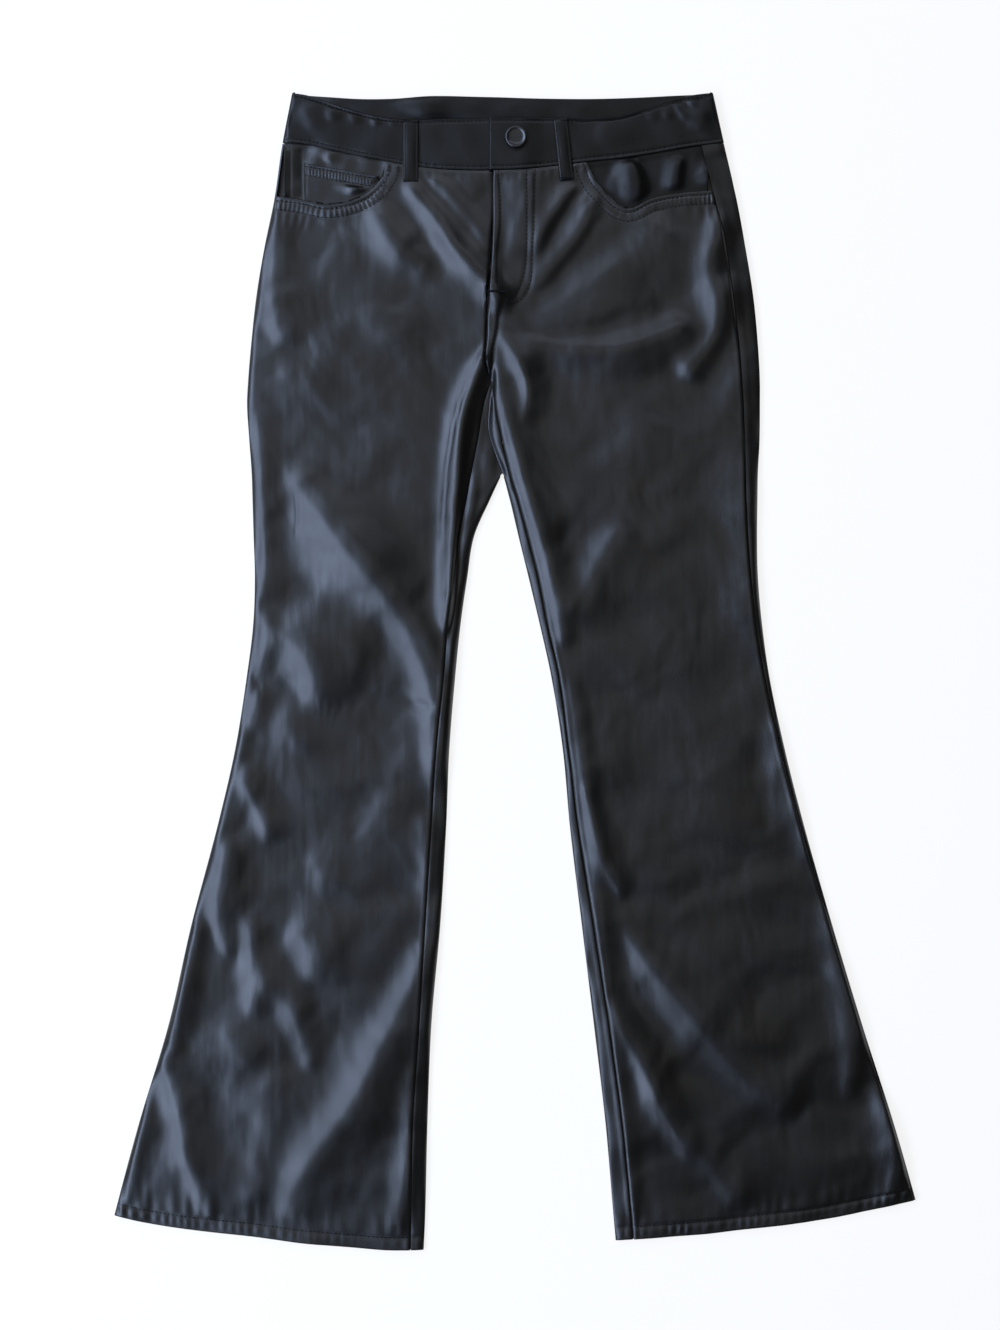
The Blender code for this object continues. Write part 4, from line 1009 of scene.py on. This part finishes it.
def facing(side, x, swell):
    """A pocket facing with its bag, from the bag's bottom to just inside the waistband."""
    def raised(x, y):
        return 0.75 * step(y - front_seam_y(x), -5, -1) + swell(x, y)
    name = "pocket_facing_" + side + "_leather"
    return sheet_between(name, x, BAG_Y + 0 * x, front_seam_y(x) + 3.0, FACING_TOP, WALL, raised)


def facing_right():
    """The right facing, with a raised strip along the side."""
    side_strip = straight(SIDE_STRIP)

    def swell(x, y):
        inside = step(y - mouth_r_y(x), 2, 10)
        shown = step(front_seam_y(x) - y, 2, 5) * step(y - mouth_r_y(x), 0, 3)
        total = inside * 0.9 * noise(x / 13, y / 14, 51) + side_strip(x) * shown
        return total + folds_height(SIDE_FACING_FOLDS, x, y)
    return facing("right", -166.2 + 79.2 * spread(79.2, 1.4, ((0, 1, 0.3), (1, 17, 0.5))), swell)


def facing_left():
    """The left facing, calm where the pocket mouth lies on it."""
    def swell(x, y):
        total = 0.35 * noise(x / 9, y / 14, 52) + folds_height(FACING_FOLDS, x, y)
        near, left, _, _ = beside(MOUTH_LINE_L, x, y, 12)
        room = np.where(y > mouth_l_y(x), 12.0, 0.0)
        room[near] = np.minimum(room[near], np.abs(left))
        return total * step(room, 0.5, 6.5) * step(front_seam_y(x) - y, -1, 5)
    return facing("left", 47.0 + 92.0 * spread(92, 1.4, ((91, 92, 0.3),)), swell)


def coin_swell(x, y):
    """The coin pocket's own unevenness: its sewn hem along the top and a soft swell below it."""
    from_top = coin_pocket_top(x) - y
    shape = 0.24 * np.maximum(8.6 - from_top, 0) + 0.16 * pucker(x, 2.4, 8.0) * bell(from_top - 5, 2.2)
    shape += groove(from_top - COIN_ROWS[0], 0.8, 0.5) + groove(from_top - COIN_ROWS[1], 0.8, 0.65)
    shape += groove(x - COIN_LEFT - 2.0, 0.7, 0.2) + 0.3 * noise(x / 13, y / 16, 53)
    shape += folds_height(COIN_FOLDS, x, y) * step(from_top, 9, 12)
    return shape * step(y - mouth_r_y(x), 1, 7)


def coin_pocket():
    """The coin pocket on the right facing, going down behind the pocket mouth's edge."""
    x = COIN_LEFT + COIN_WIDTH * spread(COIN_WIDTH, 0.7, tight_ends(COIN_WIDTH, 0.3))
    lower = mouth_r_y(x) - 8.0
    upper = np.maximum(coin_pocket_top(x), lower + 1.0)
    return sheet_between("coin_pocket_leather", x, lower, upper, COIN_TOP, WALL, coin_swell)


def belt_loop(loop, base, outward, bow):
    """A pressed strap with rounded edges, sewn down at both ends; base is the height of its seated side."""
    length, width = loop.high - loop.low, loop.width
    v = spread(length, 1.6, tight_ends(length, 0.25))[:, None]
    u = spread(width, 0.8, tight_ends(width, 0.25)) - 0.5
    sideways = loop.x_top - loop.x_bottom
    x = loop.x_bottom + sideways * v + u * width
    y = loop.low + v * length - u * width * sideways / length
    from_edge = np.minimum(to_end(v) * length, (0.5 - np.abs(u)) * width)
    lift = bow * (np.sin(np.pi * v)**0.7 + 0.5 * np.cos(2 * np.pi * u) * np.sin(np.pi * v))
    sewn = groove(np.abs(u) * width - (width / 2 - 1.8), 0.6, 0.2)
    tilt = 2 * bow * (0.5 - u) * step(to_end(v), 0, 0.05)
    down = bow * step((u + 0.5) * width, 1.3, 0)
    middle = points_at(x, y, base + outward * (STRAP_WALL / 2 + lift + sewn + tilt - down))
    return padded_strip(loop.node + "_leather", middle, points_at(0 * x, 0, outward), STRAP_WALL, from_edge)


def flat_strip(name, left, right, lower, upper, top_z, thickness):
    """A plain flat strip between its left, right, lower and upper edges."""
    width = right - left
    x = left + width * spread(width, 1.5, ((0, 0.6, 0.2), (width - 0.6, width, 0.2)))
    return sheet_between(name, x, lower + 0 * x, upper + 0 * x, top_z, thickness, lambda px, py: 0 * px)


def zip_teeth(material):
    """Two interlocked rows of coil teeth down the middle of the tape."""
    pitch = 1.6
    sides = [points_at(ZIP_X + 0.6 * side, np.arange(285.5 + pitch / 4 * side, 357.5, pitch), 3.7)
             for side in (-1, 1)]
    return run_nodes("fly_zip_teeth", stitch_tree(), sides, (pitch, 0.9, 1.5), material)


def turned(name, profile, centre, sides):
    """A turned piece from a profile of (radius, height) that runs from the axis round to the axis again."""
    angle = np.linspace(0, 2 * np.pi, sides, endpoint=False)
    radius, height = np.array(profile[1:-1]).T[..., None]
    rings = points_at(radius * np.cos(angle), radius * np.sin(angle), height).reshape(-1, 3)
    top, bottom = len(rings), len(rings) + 1
    verts = np.concatenate([rings, [(0, 0, profile[0][1]), (0, 0, profile[-1][1])]]) + centre
    around = [(i, (i + 1) % sides) for i in range(sides)]
    last = len(rings) - sides
    faces = [(k + i, k + sides + i, k + sides + j, k + j) for k in range(0, last, sides) for i, j in around]
    faces += [face for i, j in around for face in ((top, i, j), (bottom, last + j, last + i))]
    return smooth_object(name, new_mesh(name, verts, faces=faces), 40)


def waist_button():
    """A domed button with a rolled rim."""
    profile = [(0, 2.0), (3.0, 2.05), (5.0, 2.25), (5.8, 2.5), (6.2, 2.8), (6.7, 2.95), (7.2, 2.9),
               (7.7, 2.55), (8.0, 1.9), (8.0, 1.2), (7.6, 0.7), (6.6, 0.3), (3.2, 0.0), (0, 0.0)]
    return turned("waist_button", profile, (0.7, 384.0, BAND_TOP + BAND_WALL + 2 * GAP), 56)


# ---- Node trees ------------------------------------------------------------------------------------------
def set_inputs(tree, node, inputs):
    """Set a node's inputs: another node's output is linked, and any other value is put in."""
    for key, value in inputs.items():
        if isinstance(value, bpy.types.NodeSocket):
            tree.links.new(value, node.inputs[key])
        else:
            node.inputs[key].default_value = value


def add_node(tree, kind, inputs, **settings):
    """Add a node with its settings and inputs, and return its outputs."""
    node = tree.nodes.new(kind)
    for key, value in settings.items():
        setattr(node, key, value)
    set_inputs(tree, node, inputs)
    return node.outputs


def node_group(name, kind, inputs, outputs):
    """An empty Shader or Geometry node group, with what comes into it and what goes out."""
    group = bpy.data.node_groups.new(name, kind + "NodeTree")
    for socket, socket_kind, value in inputs:
        made = group.interface.new_socket(socket, in_out="INPUT", socket_type="NodeSocket" + socket_kind)
        if value is not None:
            made.default_value = value
    for socket, socket_kind in outputs:
        group.interface.new_socket(socket, in_out="OUTPUT", socket_type="NodeSocket" + socket_kind)
    return group, group.nodes.new("NodeGroupInput").outputs, group.nodes.new("NodeGroupOutput")


# ---- Stitches --------------------------------------------------------------------------------------------
def stitch_tree():
    """Geometry Nodes: lines of edges in, a row of short thick threads along each line out."""
    tree, into, out = node_group(
        "rows of stitches", "Geometry",
        [("Rows", "Geometry", None), ("Pitch", "Float", 0.003), ("Stitch length", "Float", 0.0022),
         ("Thread width", "Float", 0.0006), ("Thread", "Material", None)],
        [("Stitches", "Geometry")])
    curve = add_node(tree, "GeometryNodeMeshToCurve", {"Mesh": into["Rows"]})
    evenly = add_node(tree, "GeometryNodeResampleCurve",
                      {"Curve": curve["Curve"], "Length": into["Pitch"]}, mode="LENGTH")
    tangent = add_node(tree, "GeometryNodeInputTangent", {})
    turn = add_node(tree, "FunctionNodeAlignRotationToVector", {"Vector": tangent["Tangent"]}, axis="X")
    bead = add_node(tree, "GeometryNodeMeshUVSphere", {"Segments": 6, "Rings": 4, "Radius": 0.5})
    size = add_node(tree, "ShaderNodeCombineXYZ", {
        "X": into["Stitch length"], "Y": into["Thread width"], "Z": into["Thread width"]})
    place = add_node(tree, "GeometryNodeInstanceOnPoints", {
        "Points": evenly["Curve"], "Instance": bead["Mesh"], "Rotation": turn["Rotation"],
        "Scale": size["Vector"]})
    real = add_node(tree, "GeometryNodeRealizeInstances", {"Geometry": place["Instances"]})
    finish = add_node(tree, "GeometryNodeSetMaterial", {
        "Geometry": real["Geometry"], "Material": into["Thread"]})
    set_inputs(tree, out, {"Stitches": finish["Geometry"]})
    return tree


def run_nodes(name, tree, lines, size, material):
    """Stitches along lines of points, as a plain mesh object; size is their pitch, length and width."""
    first = np.cumsum([0] + [len(line) for line in lines])
    edges = [(i, i + 1) for a, b in zip(first, first[1:]) for i in range(a, b - 1)]
    source = in_scene(name + "_rows", new_mesh(name + "_rows", np.concatenate(lines), edges=edges))
    modifier = source.modifiers.new("rows", "NODES")
    modifier.node_group = tree
    sockets = {s.name: s.identifier for s in tree.interface.items_tree if s.in_out == "INPUT"}
    for socket, value in zip(("Pitch", "Stitch length", "Thread width"), size):
        modifier[sockets[socket]] = value * MM
    modifier[sockets["Thread"]] = material
    source.update_tag()
    bpy.context.view_layer.update()
    made = bpy.data.meshes.new_from_object(source.evaluated_get(bpy.context.evaluated_depsgraph_get()))
    made.name = name
    bpy.data.objects.remove(source)
    return smooth_object(name, made)


def on_front(leg, x, y):
    """A row of points laid on a front."""
    return points_at(x, y, front_height(leg, x, y) + 0.12)


def on_band(x, from_top, lap):
    """A row along the front waistband, a distance under its top edge or, if negative, over its seam; lap is
    how much higher the band lies there."""
    height = front_top_y(x) - front_seam_y(x)
    v = 1 - from_top / height if from_top > 0 else -from_top / height
    return points_at(x, front_seam_y(x) + v * height, BAND_TOP + band_shape(x, v) + lap + 0.15)


def pocket_row(side, distance):
    """One row of stitches along a pocket mouth, as far as the front goes."""
    right = side == "right"
    x, y = shifted(MOUTH_LINE_R if right else MOUTH_LINE_L, distance).T
    inside = x > RIGHT_LEG.outer(y) + 2 if right else x < outseam_l(y) - 1.5
    keep = inside & (y < front_seam_y(x) - 1)
    return on_front(RIGHT_LEG if right else LEFT_LEG, x[keep], y[keep])


def all_stitches(thread):
    """All rows of stitches, each a piece of its own."""
    tree = stitch_tree()
    pieces = []

    def rows(name, lines, size=STITCH):
        pieces.append(run_nodes(name, tree, lines, size, thread))
    for side in ("right", "left"):
        rows("pocket_stitches_" + side, [pocket_row(side, distance) for distance in MOUTH_ROWS])
    x_r, x_l = np.linspace(-285, -78, 200), np.linspace(88, 282, 190)
    rows("hem_stitches", [on_front(RIGHT_LEG, x_r, hem_r_y(x_r) + HEM_DEPTH),
                          on_front(LEFT_LEG, x_l, hem_l_y(x_l) + HEM_DEPTH)])
    rows("fly_stitches", [on_front(LEFT_LEG, *spline(row.line).T) for row in FLY_ROWS])
    x, y = np.linspace(BAR_TACK[0][0], BAR_TACK[1][0], 20), BAR_TACK[0][1]
    rows("fly_bar_tack", [points_at(x, y, front_height(LEFT_LEG, [-13.0], [y]) + 0.3)], (0.9, 1.3, 2.0))
    x_r, x_l = np.linspace(-157, -22, 120), np.linspace(-15.2, 140, 130)
    rows("waistband_stitches", [on_band(x, from_top, lap) for x, lap in ((x_r, 0), (x_l, band_lap(x_l)))
                                for from_top in (BAND_ROWS[0], -BAND_ROWS[1])])
    tacks = [points_at(loop.x_bottom + np.linspace(-0.5, 0.5, 12) * (loop.width - 1.4), y,
                       LOOP_BASE + STRAP_WALL + 0.35)
             for loop in FRONT_LOOPS for y in (loop.low + 1.3, loop.high - 1.6)]
    rows("belt_loop_tacks", tacks, (0.9, 1.3, 1.1))
    x = np.linspace(-150, -99, 60)
    coin = []
    for distance in COIN_ROWS:
        y = coin_pocket_top(x) - distance
        coin.append(points_at(x, y, COIN_TOP + coin_swell(x, y) + 0.1)[y > mouth_r_y(x) + 0.5])
    rows("coin_pocket_stitches", coin)
    return pieces


# ---- Materials -------------------------------------------------------------------------------------------
def leather_grain_group():
    """Fine pressed grain and faint streaks along the garment, as a height; and a mask of the pores."""
    group, into, out = node_group(
        "leather grain", "Shader",
        [("Vector", "Vector", None), ("Grain scale", "Float", 1300.0), ("Streaks", "Float", 0.5)],
        [("Height", "Float"), ("Pores", "Float")])
    cells = add_node(group, "ShaderNodeTexVoronoi", {
        "Vector": into["Vector"], "Scale": into["Grain scale"], "Randomness": 1.0}, feature="F1")
    stretch = add_node(group, "ShaderNodeMapping", {"Vector": into["Vector"], "Scale": (1.0, 0.22, 1.0)})
    streak = add_node(group, "ShaderNodeTexNoise", {"Vector": stretch["Vector"], "Scale": 260, "Detail": 2})
    weigh = add_node(group, "ShaderNodeMath", {0: streak["Fac"], 1: into["Streaks"]}, operation="MULTIPLY")
    height = add_node(group, "ShaderNodeMath", {0: cells["Distance"], 1: -0.25, 2: weigh[0]},
                      operation="MULTIPLY_ADD")
    pores = add_node(group, "ShaderNodeMath", {0: cells["Distance"], 1: 0.62}, operation="GREATER_THAN")
    set_inputs(group, out, {"Height": height[0], "Pores": pores[0]})
    return group


def handling_group():
    """Broad soft patches where the coating is a little duller or shinier from handling, from 0 to 1."""
    group, into, out = node_group("handling marks", "Shader", [("Vector", "Vector", None)],
                                  [("Patches", "Float")])
    patches = add_node(group, "ShaderNodeTexNoise", {
        "Vector": into["Vector"], "Scale": 26, "Detail": 4, "Roughness": 0.6})
    set_inputs(group, out, {"Patches": patches["Fac"]})
    return group


def new_material(name):
    """A material with its node tree, its shader, and the place on the object to hang textures from."""
    mat = bpy.data.materials.new(name)
    mat.use_nodes = True
    tree = mat.node_tree
    return mat, tree, tree.nodes["Principled BSDF"], add_node(tree, "ShaderNodeTexCoord", {})["Object"]


def leather_material(name, grain_group, marks_group, tone, shiny, specular):
    """Coated black leather: nearly black under a satin coat, with grain and uneven gloss."""
    mat, tree, shader, place = new_material(name)
    grain = add_node(tree, "ShaderNodeGroup", {"Vector": place}, node_tree=grain_group)
    marks = add_node(tree, "ShaderNodeGroup", {"Vector": place}, node_tree=marks_group)
    gloss = add_node(tree, "ShaderNodeMapRange", {
        "Value": marks["Patches"], "From Min": 0.3, "From Max": 0.7, "To Min": shiny, "To Max": 0.46})
    colour = add_node(tree, "ShaderNodeMix", {
        "Factor": grain["Pores"], 6: (*tone, 1), 7: (*(c * 0.55 for c in tone), 1)}, data_type="RGBA")
    bump = add_node(tree, "ShaderNodeBump", {
        "Height": grain["Height"], "Strength": 0.5, "Distance": 0.00025})
    set_inputs(tree, shader, {"Base Color": colour[2], "Roughness": gloss["Result"],
                              "Specular IOR Level": specular, "Normal": bump["Normal"]})
    return mat


def thread_material():
    """Black polyester thread with a faint twist."""
    mat, tree, shader, place = new_material("black_thread")
    twist = add_node(tree, "ShaderNodeTexWave", {"Vector": place, "Scale": 900, "Distortion": 1.5})
    colour = add_node(tree, "ShaderNodeMix", {
        "Factor": twist["Fac"], 6: (0.0015, 0.0015, 0.0017, 1), 7: (0.004, 0.004, 0.0045, 1)},
        data_type="RGBA")
    set_inputs(tree, shader, {"Base Color": colour[2], "Roughness": 0.85, "Specular IOR Level": 0.15})
    return mat


def textile_material(name, tone, ribs):
    """Woven black tape or moulded coil: matt, with fine ribs."""
    mat, tree, shader, place = new_material(name)
    rib = add_node(tree, "ShaderNodeTexWave", {"Vector": place, "Scale": ribs})
    bump = add_node(tree, "ShaderNodeBump", {"Height": rib["Fac"], "Strength": 0.4, "Distance": 0.0002})
    set_inputs(tree, shader, {"Base Color": (*tone, 1), "Roughness": 0.75, "Normal": bump["Normal"]})
    return mat


def button_material():
    """Glossy black moulded plastic with very fine scratches."""
    mat, tree, shader, place = new_material("black_button_plastic")
    scratch = add_node(tree, "ShaderNodeTexNoise", {"Vector": place, "Scale": 700})
    gloss = add_node(tree, "ShaderNodeMapRange", {"Value": scratch["Fac"], "To Min": 0.2, "To Max": 0.4})
    set_inputs(tree, shader, {"Base Color": (0.006, 0.006, 0.0065, 1), "Roughness": gloss["Result"]})
    return mat


# ---- Stage -----------------------------------------------------------------------------------------------
def pale_floor():
    """A pale floor that looks white to the camera and in reflections and still takes a soft shadow."""
    reach = 6000
    corners = [(-reach, -reach, 0), (reach, -reach, 0), (reach, reach, 0), (-reach, reach, 0)]
    mesh = new_mesh("floor", corners, faces=[(0, 1, 2, 3)])
    floor = in_scene("floor", mesh)
    floor.location.z = -0.4 * MM
    mat = bpy.data.materials.new("pale_floor")
    mat.use_nodes = True
    tree = mat.node_tree
    matt = tree.nodes["Principled BSDF"]
    set_inputs(tree, matt, {
        "Base Color": (0.85, 0.85, 0.85, 1), "Roughness": 0.9, "Specular IOR Level": 0.0})
    path = add_node(tree, "ShaderNodeLightPath", {})
    seen = path["Is Camera Ray"]
    for ray in ("Is Glossy Ray", "Is Transmission Ray"):
        seen = add_node(tree, "ShaderNodeMath", {0: seen, 1: path[ray]}, operation="MAXIMUM")[0]
    share = add_node(tree, "ShaderNodeMath", {0: seen, 1: 0.85}, operation="MULTIPLY")[0]
    glow = add_node(tree, "ShaderNodeEmission", {})[0]
    mix = add_node(tree, "ShaderNodeMixShader", {0: share, 1: matt.outputs[0], 2: glow})
    set_inputs(tree, tree.nodes["Material Output"], {"Surface": mix[0]})
    mesh.materials.append(mat)


def studio_world():
    """A dim, slightly warm surround."""
    world = bpy.data.worlds.new("studio")
    bpy.context.scene.world = world
    world.use_nodes = True
    world.node_tree.nodes["Background"].inputs["Color"].default_value = (0.062, 0.058, 0.052, 1)


def area_light(name, place, size, power, colour):
    """A rectangular light that faces the middle of the trousers."""
    data = bpy.data.lights.new(name, "AREA")
    data.shape = "RECTANGLE"
    data.size, data.size_y = size
    data.energy = power
    data.color = colour
    light = in_scene(name, data)
    light.location = place
    light.rotation_euler = (-Vector(place)).to_track_quat("-Z", "Y").to_euler()


def camera():
    """Straight down over the trousers, framed with the same margins all round."""
    data = bpy.data.cameras.new("camera")
    data.lens, data.sensor_width = 65, 36
    view_height, cloth_level = 957.6, 5
    obj = in_scene("camera", data)
    distance = view_height * data.lens / data.sensor_width
    obj.location = Vector((-10.8, 4.7, distance + cloth_level)) * MM
    bpy.context.scene.camera = obj


# ---- Making it all ---------------------------------------------------------------------------------------
bpy.context.scene.view_settings.view_transform = "Standard"
camera()
pale_floor()
studio_world()
area_light("key", (-1.13, 0.0, 1.21), (3.6, 0.95), 48, (0.71, 0.88, 1.24))
area_light("key middle", (-1.17, 0.0, 1.17), (3.0, 0.35), 19, (0.72, 0.88, 1.24))
area_light("head side", (0.1, 1.7, 1.5), (2.4, 0.9), 12, (0.90, 0.97, 1.12))
area_light("overhead", (0.2, 0.3, 2.6), (1.6, 1.6), 5.0, (1.0, 0.95, 0.84))

groups = (leather_grain_group(), handling_group())
leather = leather_material("faux_leather", *groups, (0.0026, 0.0022, 0.0017), 0.37, 0.5)
# Painted shade: a darker, less glossy copy of the same leather, which makes the waistband, the belt loops
# and the left pocket facing look shaded
painted_shade_leather = leather_material("faux_leather_painted_shade", *groups, (0.0018, 0.0016, 0.0013), 0.38, 0.27)
thread = thread_material()
zip_tape = textile_material("black_zip_tape", (0.006, 0.006, 0.0065), 1400)
zip_coil = textile_material("black_zip_coil", (0.004, 0.004, 0.0045), 300)
button_plastic = button_material()

pieces = [
    (front_panel("front_right_leather", RIGHT_LEG), "front_right", leather, "faux_leather"),
    (front_panel("front_left_leather", LEFT_LEG), "front_left", leather, "faux_leather"),
    (back_panel("back_right_leather", RIGHT_LEG), "back_right", leather, "faux_leather"),
    (back_panel("back_left_leather", LEFT_LEG), "back_left", leather, "faux_leather"),
    (waistband(), "waistband", painted_shade_leather, "faux_leather"),
    (facing_right(), "pocket_facing_right", leather, "faux_leather"),
    # Painted shade: the left facing takes the darker copy, for the shade in the recess under its pocket
    # mouth
    (facing_left(), "pocket_facing_left", painted_shade_leather, "faux_leather"),
    (coin_pocket(), "coin_pocket", leather, "faux_leather"),
    (flat_strip("fly_zip_tape", *ZIP_TAPE), "fly_zip", zip_tape, "black_textile"),
    (waist_button(), "button", button_plastic, "button_black"),
]
for loop in FRONT_LOOPS:
    pieces.append((belt_loop(loop, LOOP_BASE, 1, 0.5), loop.node, painted_shade_leather, "faux_leather"))
for loop in BACK_LOOPS:
    pieces.append((belt_loop(loop, 1.0, -1, 0.0), loop.node, painted_shade_leather, "faux_leather"))
made = {}
for obj, node, mat, slot in pieces:
    obj.data.materials.append(mat)
    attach(obj, "root")
    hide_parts(node)
    made[node] = obj
for obj in all_stitches(thread) + [zip_teeth(zip_coil)]:
    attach(obj, "root")
for obj in (flat_strip("fly_zip_slider", *ZIP_SLIDER), flat_strip("fly_zip_pull", *ZIP_PULL)):
    obj.data.materials.append(button_plastic)
    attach(obj, "root")
for cut in CUTS:
    [made[name] for name in cut.rests_on]
